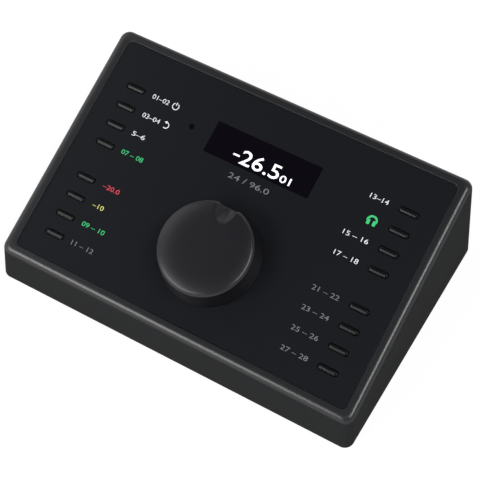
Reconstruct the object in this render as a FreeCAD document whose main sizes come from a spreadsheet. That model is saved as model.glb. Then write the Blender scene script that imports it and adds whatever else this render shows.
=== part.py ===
import FreeCAD, Part

import math
import os

import Sketcher

# Desktop monitor controller: a wedge-shaped die-cast housing with a sloping front panel, one large knob,
# sixteen pill-shaped keys in two columns and a display window. Millimetres. +X is to the user's right,
# +Y to the rear, +Z up. The origin is the middle of the footprint, on the table.
#
# Two frames are used. Upright pieces (housing, bottom cover, rear panel, main board) are drawn in the
# frame above. Pieces that lie along the sloping panel are drawn flat in the panel frame and then tilted:
# x across, y up the slope from the front rim edge, z outwards from the plane of the rim's crest.

V = FreeCAD.Vector
doc = FreeCAD.newDocument("monitor_controller")

# ------------------------------------------------------------------ driving dimensions

DIMENSIONS = [
    # housing
    ("panel_tilt", 16.2, "slope of the panel, degrees"),
    ("rim_width", 203.2, "across the rim, between the side walls at the crest"),
    ("rim_depth", 134.4, "front to rear edge of the rim, along the slope"),
    ("front_height", 22.6, "front wall, lower edge to rim edge"),
    ("front_lean", 10.0, "front wall, degrees out of plumb"),
    ("side_draft", 4.2, "side walls, degrees out of square with the panel"),
    ("wall", 2.5, "front and side walls"),
    ("roof", 2.2, "housing under the faceplate"),
    ("corner_radius", 5.0, "upright corners of the housing"),
    ("rim_radius", 2.8, "rounding along the outer edge of the rim"),
    ("recess_side", 6.1, "rim edge to faceplate recess, at the sides"),
    ("recess_front", 5.2, "the same at the front"),
    ("recess_rear", 6.0, "the same at the rear"),
    ("recess_corner", 3.0, "corner radius of the recess"),
    ("slope_run", 2.3, "width of the slope down from the crest to the faceplate"),
    ("slope_drop", 0.8, "crest to faceplate, square to the panel"),
    # faceplate and display
    ("face_thickness", 1.0, "faceplate"),
    ("face_gap", 0.1, "faceplate edge to recess wall"),
    ("window_width", 60.6, "display window"),
    ("window_height", 17.7, "display window, along the slope"),
    ("window_row", 99.9, "display centre line, from the front rim edge"),
    ("window_ledge", 1.5, "ledge under the window lens"),
    ("window_gap", 0.1, "lens edge to faceplate, and lens top below it"),
    ("display_side", 1.7, "display module glass beyond the window, at the sides"),
    ("display_end", 2.65, "display module glass beyond the window, along the slope"),
    ("display_thickness", 2.0, "display module glass"),
    ("display_board_edge", 2.0, "display circuit board beyond its glass"),
    ("thin_board", 1.0, "display circuit board thickness"),
    ("flex_width", 12.0, "display ribbon"),
    ("flex_thickness", 0.3, "display ribbon"),
    ("sensor_reach", 11.6, "window edge to the light sensor"),
    ("sensor_row", 100.0, "light sensor, from the front rim edge"),
    ("sensor_radius", 1.5, "light sensor hole"),
    ("cell_length", 3.2, "light cell under the sensor lens"),
    ("cell_width", 2.4, "light cell, along the slope"),
    # keys
    ("key_inset", 22.4, "rim edge to the middle of a key column"),
    ("key_row", 106.1, "rearmost key, from the front rim edge"),
    ("key_pitch", 11.13, "between keys of a group"),
    ("key_group_gap", 9.23, "extra pitch between the two groups of a column"),
    ("key_length", 10.4, "key cap"),
    ("key_width", 2.6, "key cap"),
    ("key_gap", 0.25, "key cap to its slot in the faceplate"),
    ("slot_relief", 0.2, "roof slot wider and longer than the faceplate's"),
    ("key_rise", 0.7, "key cap above the faceplate"),
    ("key_edge", 0.6, "rounding of the key cap's upper edge"),
    ("key_travel", 0.5, "key stroke"),
    ("key_flange", 1.0, "flange beyond the cap, under the roof"),
    ("flange_thickness", 0.8, "flanges of keys and light guides"),
    ("float_gap", 0.2, "flange below the roof"),
    ("stem_length", 2.4, "key stem, across"),
    ("stem_width", 1.4, "key stem, along the slope"),
    # key board and what stands on it
    ("board_depth", 9.4, "crest to the key board's upper face"),
    ("board_thickness", 1.6, "both circuit boards"),
    ("key_board_side", 10.1, "rim edge to the key board, at the sides"),
    ("key_board_front", 6.5, "front rim edge to the key board"),
    ("key_board_rear", 13.7, "rear rim edge to the key board"),
    ("switch_length", 6.0, "tactile switch"),
    ("switch_width", 3.6, "tactile switch, along the slope"),
    ("switch_height", 3.5, "tactile switch"),
    ("switch_well", 1.5, "depth of the switch's well"),
    ("well_gap", 0.3, "key stem to the wall of the well"),
    ("guide_reach", 17.7, "key column to its light guides, middle to middle"),
    ("guide_length", 15.0, "light guide under a legend"),
    ("guide_width", 3.0, "light guide, along the slope"),
    ("guide_gap", 0.15, "light guide to its opening"),
    ("lamp_length", 1.6, "indicator lamp"),
    ("lamp_width", 0.8, "indicator lamp"),
    ("lamp_height", 0.8, "indicator lamp"),
    ("lamp_gap", 0.25, "lamp to light guide"),
    ("board_boss_inset", 13.0, "rim edge to the key board bosses"),
    ("board_boss_edge", 3.2, "end bosses, in from the key board's edges"),
    ("board_boss_radius", 3.0, "key board bosses"),
    # knob and encoder
    ("knob_row", 44.3, "knob axis, from the front rim edge"),
    ("knob_base_radius", 26.7, "knob at its lower edge"),
    ("knob_top_radius", 24.6, "knob at its top, before the rounding"),
    ("knob_height", 15.4, "knob cap"),
    ("knob_gap", 0.5, "knob above the faceplate"),
    ("knob_round", 2.4, "rounding of the knob's upper edge"),
    ("knob_skirt", 2.2, "wall of the knob's skirt"),
    ("knob_crown", 3.2, "thickness of the knob's top"),
    ("dimple_reach", 20.0, "finger dimple, from the knob's axis"),
    ("dimple_radius", 9.0, "radius of the sphere that forms the dimple"),
    ("dimple_depth", 2.3, "deepest part of the dimple"),
    ("hub_radius", 5.5, "metal hub inside the knob"),
    ("hub_wall", 2.0, "plastic boss round the hub"),
    ("hub_length", 7.5, "hub"),
    ("press_gap", 0.02, "bonded fits inside one body, radial"),
    ("shaft_radius", 3.0, "encoder shaft"),
    ("shaft_flat", 1.5, "flat of the shaft, from its axis"),
    ("shaft_flat_length", 6.5, "length of the flat"),
    ("running_gap", 0.05, "radial clearance of turning fits and of screws"),
    ("encoder_side", 12.5, "encoder body, square"),
    ("bushing_radius", 4.5, "encoder bushing"),
    ("bushing_rise", 3.0, "bushing above the crest plane"),
    ("bushing_gap", 0.25, "bushing to its holes"),
    ("washer_radius", 7.5, "encoder washer"),
    ("washer_thickness", 0.5, "encoder washer"),
    ("nut_flats", 12.0, "encoder nut, across its flats"),
    ("nut_thickness", 2.0, "encoder nut"),
    # rear bay, rear panel and sockets
    ("rear_wall", 6.5, "rear wall of the housing"),
    ("bay_depth", 4.2, "recess that takes the rear panel"),
    ("bay_side", 8.6, "rim edge to the recess, at the sides"),
    ("bay_low", 4.0, "lower edge of the housing to the recess"),
    ("bay_height", 49.0, "recess"),
    ("bay_ledge", 4.5, "ledge round the opening"),
    ("bay_corner", 2.0, "corner radius of the recess"),
    ("panel_thickness", 1.5, "rear panel and bottom cover"),
    ("panel_gap", 0.2, "rear panel edge to recess"),
    ("socket_gap", 0.2, "sockets to their cut-outs"),
    ("socket_pitch", 21.0, "between the two network sockets"),
    ("network_width", 16.0, "network socket"),
    ("network_height", 13.5, "network socket"),
    ("network_length", 18.0, "network socket"),
    ("network_mouth_width", 11.8, "mouth of a network socket"),
    ("network_mouth_height", 8.0, "mouth of a network socket"),
    ("network_mouth_depth", 12.5, "mouth of a network socket"),
    ("network_floor", 2.5, "network socket below its mouth"),
    ("usb_width", 9.0, "small data socket"),
    ("usb_height", 3.2, "small data socket"),
    ("usb_length", 7.6, "small data socket, behind the panel"),
    ("usb_shell", 0.35, "small data socket's metal wall"),
    ("inlet_width", 9.0, "power inlet body"),
    ("inlet_height", 11.0, "power inlet body"),
    ("inlet_length", 13.0, "power inlet body"),
    ("inlet_radius", 4.2, "power inlet nose"),
    ("inlet_bore", 2.8, "power inlet bore"),
    ("inlet_pin", 0.95, "power inlet centre pin"),
    ("inlet_depth", 9.5, "power inlet bore depth"),
    ("jack_width", 16.0, "headphone jack body"),
    ("jack_height", 15.0, "headphone jack body"),
    ("jack_length", 26.0, "headphone jack body"),
    ("jack_nose", 5.4, "headphone jack nose radius"),
    ("jack_nose_length", 2.3, "nose beyond the rear panel"),
    ("jack_bore", 3.25, "headphone jack bore radius"),
    ("jack_nut_radius", 7.5, "headphone jack nut, outer radius"),
    ("jack_nut_thickness", 1.6, "headphone jack nut"),
    ("line_pitch", 31.0, "between the two line inputs"),
    ("line_row", 25.5, "line input axis above the housing's lower edge"),
    ("line_flange_width", 26.0, "line input flange"),
    ("line_flange_height", 31.0, "line input flange"),
    ("line_flange", 1.2, "line input flange thickness"),
    ("line_barrel", 11.9, "line input barrel radius"),
    ("line_length", 22.0, "barrel behind the rear panel"),
    ("line_cup", 9.6, "line input, radius of the plug's groove"),
    ("line_core", 7.4, "line input, radius of the contact block"),
    ("line_depth", 14.0, "depth of the groove"),
    ("line_contact", 1.3, "contact holes"),
    ("line_contact_circle", 4.0, "contact holes, from the axis"),
    ("line_screw_x", 9.5, "flange screws, across from the axis"),
    ("line_screw_row", 12.0, "flange screws, up and down from the axis"),
    # bottom cover, main board and screws
    ("cover_gap", 0.3, "bottom cover edge to the walls"),
    ("cover_boss_inset", 5.6, "rim edge to the cover bosses"),
    ("cover_boss_edge", 12.0, "cover bosses, in from the front and rear edges"),
    ("cover_boss_radius", 3.5, "cover bosses"),
    ("foot_height", 2.0, "rubber foot below the cover"),
    ("foot_radius", 7.0, "rubber foot"),
    ("foot_inset", 19.6, "rim edge to the middle of a foot"),
    ("foot_edge", 20.0, "feet, in from the front and rear edges"),
    ("foot_bevel", 0.4, "lower edge of a foot"),
    ("standoff_height", 6.0, "main board above the cover"),
    ("standoff_radius", 3.0, "standoff"),
    ("main_board_side", 17.6, "rim edge to the main board, at the sides"),
    ("main_board_front", 26.0, "front lower edge to the main board"),
    ("main_board_rear", 1.0, "main board to the inside of the rear wall"),
    ("main_board_screw", 5.0, "board screws, in from the board's front and side edges"),
    ("main_board_screw_rear", 20.0, "rear board screws, in from the board's rear edge"),
    ("screw_radius", 1.25, "every machine screw"),
    ("screw_head", 2.1, "screw head radius"),
    ("screw_head_height", 1.2, "screw head"),
    ("screw_drive", 0.85, "hexagon socket, centre to corner"),
    ("screw_drive_depth", 0.7, "hexagon socket"),
    ("screw_length", 5.0, "thread below what a screw clamps"),
    ("pilot_end", 0.8, "hole beyond the end of a screw"),
    ("shield_length", 44.0, "processor shield, across"),
    ("shield_width", 30.0, "processor shield, front to rear"),
    ("shield_height", 4.0, "processor shield"),
    ("shield_wall", 0.3, "processor shield sheet"),
    ("capacitor_radius", 4.0, "capacitor"),
    ("capacitor_height", 10.0, "capacitor"),
    ("capacitor_pitch", 10.0, "between capacitors"),
    ("relay_length", 10.0, "relay, front to rear"),
    ("relay_width", 6.5, "relay"),
    ("relay_height", 5.2, "relay"),
    ("relay_pitch", 9.0, "between relays"),
    ("cable_width", 20.0, "ribbon between the boards"),
    ("cable_thickness", 0.9, "ribbon between the boards"),
    ("cable_inset", 38.0, "main board edge to the middle of the ribbon"),
    ("short_pass", 2.8, "length by which a short cut passes the wall it opens"),
    ("cut_margin", 40.0, "length by which a large cutting shape passes what it cuts"),
]


class Size:
    """A number together with the spreadsheet formula that gives it."""

    def __init__(self, value, formula):
        self.value = value
        self.formula = formula

    def __add__(self, other):
        return Size(self.value + number(other), f"({self.formula} + {formula(other)})")

    def __radd__(self, other):
        return Size(number(other) + self.value, f"({formula(other)} + {self.formula})")

    def __sub__(self, other):
        return Size(self.value - number(other), f"({self.formula} - {formula(other)})")

    def __rsub__(self, other):
        return Size(number(other) - self.value, f"({formula(other)} - {self.formula})")

    def __mul__(self, other):
        return Size(self.value * number(other), f"({self.formula} * {formula(other)})")

    __rmul__ = __mul__

    def __truediv__(self, other):
        return Size(self.value / number(other), f"({self.formula} / {formula(other)})")

    def __rtruediv__(self, other):
        return Size(number(other) / self.value, f"({formula(other)} / {self.formula})")

    def __neg__(self):
        return Size(-self.value, f"(0 - {self.formula})")


def number(size):
    return size.value if isinstance(size, Size) else float(size)


def formula(size):
    return size.formula if isinstance(size, Size) else repr(float(size))


def sine(angle):
    return Size(math.sin(math.radians(angle.value)), f"sin({angle.formula})")


def cosine(angle):
    return Size(math.cos(math.radians(angle.value)), f"cos({angle.formula})")


def tangent(angle):
    return Size(math.tan(math.radians(angle.value)), f"tan({angle.formula})")


class Sheet:
    """The spreadsheet's values, one attribute per alias."""


sheet = doc.addObject("Spreadsheet::Sheet", "sizes")
S = Sheet()
for line, (alias, value, meaning) in enumerate(DIMENSIONS, start=1):
    sheet.set(f"A{line}", alias)
    sheet.set(f"B{line}", str(value))
    sheet.set(f"C{line}", meaning)
    sheet.setAlias(f"B{line}", alias)
    setattr(S, alias, Size(value, f"sizes.{alias}"))
doc.recompute()

# ------------------------------------------------------------------ derived places

sin_tilt = sine(S.panel_tilt)
cos_tilt = cosine(S.panel_tilt)
tan_tilt = tangent(S.panel_tilt)

front_reach = S.front_height * tangent(S.front_lean)
rear_reach = S.rim_depth * cos_tilt
y_rim = (front_reach - rear_reach) / 2
y_front = y_rim - front_reach
y_rear = y_rim + rear_reach
z_base = S.foot_height
z_rim = z_base + S.front_height

half_rim = S.rim_width / 2
face_top = -S.slope_drop
seat = face_top - S.face_thickness
roof_low = seat - S.roof
board_top = -S.board_depth
board_low = board_top - S.board_thickness
flange_top = roof_low - S.float_gap
flange_low = flange_top - S.flange_thickness
switch_top = board_top + S.switch_height
shaft_low = (board_top + roof_low) / 2

recess_left = -half_rim + S.recess_side
recess_right = half_rim - S.recess_side
recess_near = S.recess_front
recess_far = S.rim_depth - S.recess_rear

display_width = S.window_width + 2 * S.display_side
display_height = S.window_height + 2 * S.display_end
sensor_x = -S.window_width / 2 - S.sensor_reach

key_x = half_rim - S.key_inset
guide_x = key_x - S.guide_reach
board_boss_x = half_rim - S.board_boss_inset
key_board_width = S.rim_width - 2 * S.key_board_side
key_board_far = S.rim_depth - S.key_board_rear

KEY_SIDES = {"left": -1, "right": 1}
KEYS_IN_GROUP = 4
key_rows = [
    S.key_row - S.key_pitch * i - (S.key_group_gap if i >= KEYS_IN_GROUP else 0)
    for i in range(2 * KEYS_IN_GROUP)
]

panel_outer = y_rear - S.bay_depth + S.panel_thickness
panel_inner = y_rear - S.bay_depth
wall_inner = y_rear - S.rear_wall
bay_width = S.rim_width - 2 * S.bay_side
bay_bottom = z_base + S.bay_low
bay_top = bay_bottom + S.bay_height

cover_top = z_base + S.panel_thickness
main_low = cover_top + S.standoff_height
main_top = main_low + S.board_thickness
main_front = y_front + S.main_board_front
main_rear = wall_inner - S.main_board_rear
main_board_width = S.rim_width - 2 * S.main_board_side
half_main = main_board_width / 2
cover_boss_x = half_rim - S.cover_boss_inset
foot_x = half_rim - S.foot_inset

board_bosses = [
    (side * board_boss_x, row)
    for side in (-1, 1)
    for row in (
        S.key_board_front + S.board_boss_edge,
        (key_rows[KEYS_IN_GROUP - 1] + key_rows[KEYS_IN_GROUP]) / 2,
        key_board_far - S.board_boss_edge,
    )
]
cover_bosses = [
    (side * cover_boss_x, place)
    for side in (-1, 1)
    for place in (y_front + S.cover_boss_edge, (y_front + y_rear) / 2, y_rear - S.cover_boss_edge)
]
main_screws = [
    (side * (half_main - S.main_board_screw), place)
    for side in (-1, 1)
    for place in (main_front + S.main_board_screw, main_rear - S.main_board_screw_rear)
]

# the sockets stand side by side in the bay's opening, with the same space between each two and at both ends
SOCKET_SPANS = {
    "inlet": S.inlet_width,
    "usb": S.usb_width,
    "network": S.socket_pitch + S.network_width,
    "jack": S.jack_width,
    "line": S.line_pitch + S.line_flange_width,
}
opening_width = bay_width - 2 * S.bay_ledge
socket_space = (opening_width - sum(SOCKET_SPANS.values())) / (len(SOCKET_SPANS) + 1)
socket_x = {}
socket_edge = -opening_width / 2
for name, span in SOCKET_SPANS.items():
    socket_x[name] = socket_edge + socket_space + span / 2
    socket_edge = socket_edge + socket_space + span
line_inputs = {"left": socket_x["line"] - S.line_pitch / 2, "right": socket_x["line"] + S.line_pitch / 2}
network_sockets = {
    "left": socket_x["network"] - S.socket_pitch / 2,
    "right": socket_x["network"] + S.socket_pitch / 2,
}
line_axis = z_base + S.line_row
jack_axis = main_top + S.jack_height / 2
inlet_axis = main_top + S.inlet_height / 2

bay_screw_inset = S.panel_gap + S.bay_ledge / 2
bay_screws = [
    (side * (bay_width / 2 - bay_screw_inset), level)
    for side in (-1, 1)
    for level in (bay_bottom + bay_screw_inset, bay_top - bay_screw_inset)
] + [(0, level) for level in (bay_bottom + bay_screw_inset, bay_top - bay_screw_inset)]
flange_screws = [
    (axis + side * S.line_screw_x, line_axis + side * S.line_screw_row)
    for axis in line_inputs.values()
    for side in (-1, 1)
]

# ------------------------------------------------------------------ drawing helpers


def bind(obj, prop, size):
    obj.setExpression(prop, formula(size))


def body_at(label, x=0, y=0, z=0, tilted=False):
    """An empty body; a tilted one stands in the panel frame, at x, y of the panel and z off its crest plane."""
    body = doc.addObject("PartDesign::Body", label)
    body.Label = label
    if tilted:
        place = (x, y_rim + y * cos_tilt - z * sin_tilt, z_rim + y * sin_tilt + z * cos_tilt)
        body.Placement = FreeCAD.Placement(V(), FreeCAD.Rotation(V(1, 0, 0), S.panel_tilt.value))
        bind(body, "Placement.Rotation.Angle", S.panel_tilt)
    else:
        place = (x, y, z)
    for axis, size in zip("xyz", place):
        bind(body, f"Placement.Base.{axis}", size)
    return body


class Drawing:
    """A sketch whose lines and dimensions are collected first and handed over together."""

    def __init__(self, sketch_object):
        self.sketch = sketch_object
        self.shapes = []
        self.constraints = []
        self.formulas = []

    def add(self, shape):
        self.shapes.append(shape)
        return len(self.shapes) - 1

    def tie(self, kind, *where):
        self.constraints.append(Sketcher.Constraint(kind, *where))
        self.formulas.append(None)

    def fix(self, kind, element, point, size):
        """One dimension, bound to its formula; a distance is measured from the sketch's origin."""
        where = (-1, 1, element, point) if kind.startswith("Distance") else (element,)
        self.constraints.append(Sketcher.Constraint(kind, *where, number(size)))
        self.formulas.append(formula(size))

    def fix_point(self, element, point, x, y):
        self.fix("DistanceX", element, point, x)
        self.fix("DistanceY", element, point, y)

    def close(self):
        self.sketch.addGeometry(self.shapes, False)
        self.sketch.addConstraint(self.constraints)
        for index, text in enumerate(self.formulas):
            if text is not None:
                self.sketch.setExpression(f"Constraints[{index}]", text)


def sketch(body, name, plane="XY", at=(0, 0, 0), turn=None):
    """A drawing on one of the body's origin planes, moved by `at` and turned about its own x axis."""
    support = next(f for f in body.Origin.OriginFeatures if f.Role == f"{plane}_Plane")
    flat = body.newObject("Sketcher::SketchObject", f"{body.Name}_{name}")
    flat.AttachmentSupport = [(support, "")]
    flat.MapMode = "FlatFace"
    if turn is not None:
        flat.AttachmentOffset = FreeCAD.Placement(V(), FreeCAD.Rotation(V(1, 0, 0), turn.value))
        bind(flat, "AttachmentOffset.Rotation.Angle", turn)
    for axis, size in zip("xyz", at):
        bind(flat, f"AttachmentOffset.Base.{axis}", size)
    return Drawing(flat)


def panel_sketch(body, name, height):
    """In an upright body: a drawing in the panel's x and y, `height` off the crest plane."""
    at = (0, y_rim - height * sin_tilt, z_rim + height * cos_tilt)
    return sketch(body, name, "XY", at, S.panel_tilt)


def rear_sketch(body, name, place):
    """A drawing whose x and y are the object's X and Z, standing at Y = place; its normal is -Y."""
    return sketch(body, name, "XZ", (0, 0, -place))


def polygon(drawing, points):
    """A closed outline of straight lines through points of the drawing."""
    corners = [V(number(x), number(y), 0) for x, y in points]
    count = len(corners)
    lines = [drawing.add(Part.LineSegment(corners[i], corners[(i + 1) % count])) for i in range(count)]
    for i, (x, y) in enumerate(points):
        drawing.tie("Coincident", lines[i], 2, lines[(i + 1) % count], 1)
        drawing.fix_point(lines[i], 1, x, y)


def rectangle(drawing, x, y, width, height):
    """A rectangle about the point x, y."""
    left, right = x - width / 2, x + width / 2
    low, high = y - height / 2, y + height / 2
    polygon(drawing, [(left, low), (right, low), (right, high), (left, high)])


def circle(drawing, x, y, radius):
    index = drawing.add(Part.Circle(V(number(x), number(y), 0), V(0, 0, 1), number(radius)))
    drawing.fix("Radius", index, 0, radius)
    drawing.fix_point(index, 3, x, y)


def on_circle(x, y, radius, degrees):
    angle = math.radians(degrees)
    return V(number(x) + number(radius) * math.cos(angle), number(y) + number(radius) * math.sin(angle), 0)


def arc_chain(drawing, arcs, radius):
    """Arcs of one radius joined end to start by tangent lines; each arc is (x, y, start angle, end angle)."""
    numbers = []
    for x, y, start, end in arcs:
        ring = Part.Circle(V(number(x), number(y), 0), V(0, 0, 1), number(radius))
        numbers.append(drawing.add(Part.ArcOfCircle(ring, math.radians(start), math.radians(end))))
    for i, (x, y, _, end) in enumerate(arcs):
        following = (i + 1) % len(arcs)
        next_x, next_y, start, _ = arcs[following]
        line = Part.LineSegment(on_circle(x, y, radius, end), on_circle(next_x, next_y, radius, start))
        joint = drawing.add(line)
        drawing.tie("Tangent", numbers[i], 2, joint, 1)
        drawing.tie("Tangent", joint, 2, numbers[following], 1)
        drawing.fix("Radius", numbers[i], 0, radius)
        drawing.fix_point(numbers[i], 3, x, y)


def pill(drawing, x, y, length, width):
    """A slot shape about the point x, y, its length along x."""
    reach = (length - width) / 2
    arc_chain(drawing, [(x - reach, y, 90, 270), (x + reach, y, -90, 90)], width / 2)


def rounded_box(drawing, left, low, right, high, radius):
    arcs = [
        (left + radius, low + radius, 180, 270),
        (right - radius, low + radius, 270, 360),
        (right - radius, high - radius, 0, 90),
        (left + radius, high - radius, 90, 180),
    ]
    arc_chain(drawing, arcs, radius)


def flatted_round(drawing, radius, flat):
    """A circle about the drawing's origin with its +y side cut off at `flat`."""
    half = math.sqrt(number(radius) ** 2 - number(flat) ** 2)
    start = math.atan2(number(flat), -half)
    end = math.atan2(number(flat), half) + 2 * math.pi
    arc = drawing.add(Part.ArcOfCircle(Part.Circle(V(), V(0, 0, 1), number(radius)), start, end))
    chord = drawing.add(Part.LineSegment(V(half, number(flat), 0), V(-half, number(flat), 0)))
    drawing.tie("Coincident", arc, 2, chord, 1)
    drawing.tie("Coincident", chord, 2, arc, 1)
    drawing.tie("Horizontal", chord)
    drawing.fix("Radius", arc, 0, radius)
    drawing.fix_point(arc, 3, 0, 0)
    drawing.fix("DistanceY", chord, 1, flat)


def hexagon(drawing, x, y, corner_radius):
    points = []
    for i in range(6):
        angle = math.radians(60 * i)
        points.append((x + corner_radius * math.cos(angle), y + corner_radius * math.sin(angle)))
    polygon(drawing, points)


def pad(body, drawing, length, reverse=False, symmetric=False):
    drawing.close()
    feature = body.newObject("PartDesign::Pad", f"{drawing.sketch.Name}_pad")
    feature.Profile = drawing.sketch
    feature.SideType = "Symmetric" if symmetric else "One side"
    feature.Reversed = reverse
    bind(feature, "Length", length)
    doc.recompute()
    return feature


def pocket(body, drawing, depth=None, reverse=False, symmetric=False):
    """Cut below the sketch, or above it where reverse is set; with no depth, right through."""
    drawing.close()
    before = body.Shape.Volume
    feature = body.newObject("PartDesign::Pocket", f"{drawing.sketch.Name}_pocket")
    feature.Profile = drawing.sketch
    feature.SideType = "Symmetric" if symmetric else "One side"
    feature.Reversed = reverse
    if depth is None:
        feature.Type = "ThroughAll"
    else:
        bind(feature, "Length", depth)
    doc.recompute()
    if not body.Shape.Volume < before:
        raise ValueError(f"{feature.Name} cuts nothing")
    return feature


def revolve(body, drawing):
    """Turn a profile drawn in the XZ plane round the body's own z axis."""
    drawing.close()
    feature = body.newObject("PartDesign::Revolution", f"{drawing.sketch.Name}_turned")
    feature.Profile = drawing.sketch
    axis = next(f for f in body.Origin.OriginFeatures if f.Role == "Z_Axis")
    feature.ReferenceAxis = (axis, [""])
    feature.Angle = 360
    doc.recompute()
    return feature


def edges_where(shape, test):
    return [f"Edge{i}" for i, edge in enumerate(shape.Edges, start=1) if test(edge)]


def dress(body, kind, edge_names, size):
    """A fillet or chamfer on the body's present tip."""
    base = body.Tip
    feature = body.newObject(f"PartDesign::{kind}", f"{body.Name}_{kind.lower()}")
    feature.Base = (base, edge_names)
    bind(feature, "Radius" if kind == "Fillet" else "Size", size)
    doc.recompute()
    return feature


def ends(edge):
    return edge.Vertexes[0].Point, edge.Vertexes[-1].Point


def off_crest(point):
    """Height of a point above the rim's crest plane, square to the panel."""
    tilt = math.radians(S.panel_tilt.value)
    across = point.y - y_rim.value
    up = point.z - z_rim.value
    return up * math.cos(tilt) - across * math.sin(tilt)


TOUCH = 1e-4
CAPACITORS = 4
RELAYS = 4
CONTACT_ANGLES = (30, 150, 270)


# ------------------------------------------------------------------ housing


def wedge(label, inset, rear_inset, top, base):
    """The housing's own wedge, drawn `inset` inside its walls, `top` off the crest plane and down to `base`."""
    body = body_at(label)
    lean = tangent(S.front_lean)
    start = y_front + inset / cosine(S.front_lean) + (base - z_base) * lean
    rise = z_rim + top / cos_tilt + (start - y_rim) * tan_tilt - base
    front_rise = rise / (1 - lean * tan_tilt)
    rear = y_rear - rear_inset
    rear_top = z_rim + top / cos_tilt + (rear - y_rim) * tan_tilt
    profile = sketch(body, "side", "YZ")
    polygon(profile, [
        (start, base),
        (rear, base),
        (rear, rear_top),
        (start + front_rise * lean, base + front_rise),
    ])
    pad(body, profile, S.rim_width + 2 * S.cut_margin, symmetric=True)
    flanks = sketch(body, "flanks", "XZ", (0, z_rim, -y_rim), S.panel_tilt)
    reach = S.front_height + S.rim_depth
    draft = tangent(S.side_draft)
    half = half_rim - inset / cosine(S.side_draft)
    for side in (-1, 1):
        polygon(flanks, [
            (side * (half - reach * draft), reach),
            (side * (half + reach * draft), -reach),
            (side * (half_rim + 2 * S.cut_margin), -reach),
            (side * (half_rim + 2 * S.cut_margin), reach),
        ])
    pocket(body, flanks, symmetric=True)

    def upright_corner(edge):
        first, second = ends(edge)
        rise = abs(first.z - second.z)
        return rise > 2 * abs(first.y - second.y) and rise > 2 * abs(first.x - second.x)

    dress(body, "Fillet", edges_where(body.Tip.Shape, upright_corner), S.corner_radius - inset)
    return body


def roof_at(place):
    """World height of the roof's underside at Y = place."""
    return z_rim + roof_low / cos_tilt + (place - y_rim) * tan_tilt


def make_housing():
    body = wedge("top_housing", 0, 0, 0, z_base)

    def on_crest(edge):
        return all(abs(off_crest(point)) < TOUCH for point in ends(edge))

    dress(body, "Fillet", edges_where(body.Tip.Shape, on_crest), S.rim_radius)

    cavity = wedge("housing_cavity", S.wall, S.rear_wall, roof_low, z_base - S.wall)
    hollow = body.newObject("PartDesign::Boolean", "housing_hollow")
    hollow.Type = "Cut"
    hollow.setObjects([cavity])
    doc.recompute()

    # faceplate recess and the slope that leads down to it
    recess = panel_sketch(body, "recess", 0)
    rounded_box(recess, recess_left, recess_near, recess_right, recess_far, S.recess_corner)
    pocket(body, recess, -seat)

    def recess_lip(edge):
        inside = all(
            abs(point.x) < number(recess_right) + TOUCH
            and point.y < number(y_rear - S.recess_rear * cos_tilt) + TOUCH
            for point in ends(edge)
        )
        return on_crest(edge) and inside

    slope = dress(body, "Chamfer", edges_where(body.Tip.Shape, recess_lip), S.slope_run)
    slope.ChamferType = "Two distances"
    bind(slope, "Size2", S.slope_drop)
    doc.recompute()

    # openings through the roof
    slot_gap = 2 * S.key_gap + S.slot_relief
    guide_gap = 2 * S.guide_gap
    for name, side in KEY_SIDES.items():
        slots = panel_sketch(body, f"key_slots_{name}", seat)
        wells = panel_sketch(body, f"guide_slots_{name}", seat)
        for row in key_rows:
            pill(slots, side * key_x, row, S.key_length + slot_gap, S.key_width + slot_gap)
            rectangle(wells, side * guide_x, row, S.guide_length + guide_gap, S.guide_width + guide_gap)
        pocket(body, slots, S.roof + S.short_pass)
        pocket(body, wells, S.roof + S.short_pass)
    holes = panel_sketch(body, "roof_holes", seat)
    ledge = 2 * S.window_ledge
    rectangle(holes, 0, S.window_row, S.window_width - ledge, S.window_height - ledge)
    circle(holes, sensor_x, S.sensor_row, S.sensor_radius)
    circle(holes, 0, S.knob_row, S.bushing_radius + S.bushing_gap)
    pocket(body, holes, S.roof + S.short_pass)

    # bosses that carry the key board
    bosses = panel_sketch(body, "board_bosses", board_top)
    for x, row in board_bosses:
        circle(bosses, x, row, S.board_boss_radius)
    pad(body, bosses, roof_low - board_top + S.roof / 2)
    pilots = panel_sketch(body, "board_pilots", board_top)
    for x, row in board_bosses:
        circle(pilots, x, row, S.screw_radius + S.running_gap)
    pocket(body, pilots, S.screw_length + S.pilot_end, reverse=True)

    # bosses that carry the bottom cover
    for index, (x, place) in enumerate(cover_bosses):
        boss = sketch(body, f"cover_boss_{index}", "XY", (0, 0, cover_top))
        circle(boss, x, place, S.cover_boss_radius)
        pad(body, boss, roof_at(place + S.cover_boss_radius) - cover_top)
    pilots = sketch(body, "cover_pilots", "XY", (0, 0, cover_top))
    for x, place in cover_bosses:
        circle(pilots, x, place, S.screw_radius + S.running_gap)
    pocket(body, pilots, S.screw_length + S.pilot_end, reverse=True)

    # rear bay, its opening and the threads for the rear panel
    half_bay = bay_width / 2
    bay = rear_sketch(body, "bay", y_rear)
    rounded_box(bay, -half_bay, bay_bottom, half_bay, bay_top, S.bay_corner)
    pocket(body, bay, S.bay_depth, reverse=True)
    opening = rear_sketch(body, "bay_opening", y_rear)
    rounded_box(opening, -half_bay + S.bay_ledge, bay_bottom + S.bay_ledge, half_bay - S.bay_ledge,
                bay_top - S.bay_ledge, S.bay_corner)
    pocket(body, opening, S.rear_wall + S.short_pass, reverse=True)
    threads = rear_sketch(body, "bay_threads", y_rear)
    for x, level in bay_screws:
        circle(threads, x, level, S.screw_radius + S.running_gap)
    pocket(body, threads, S.rear_wall + S.short_pass, reverse=True)
    return body


# ------------------------------------------------------------------ faceplate, window and sensor


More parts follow.
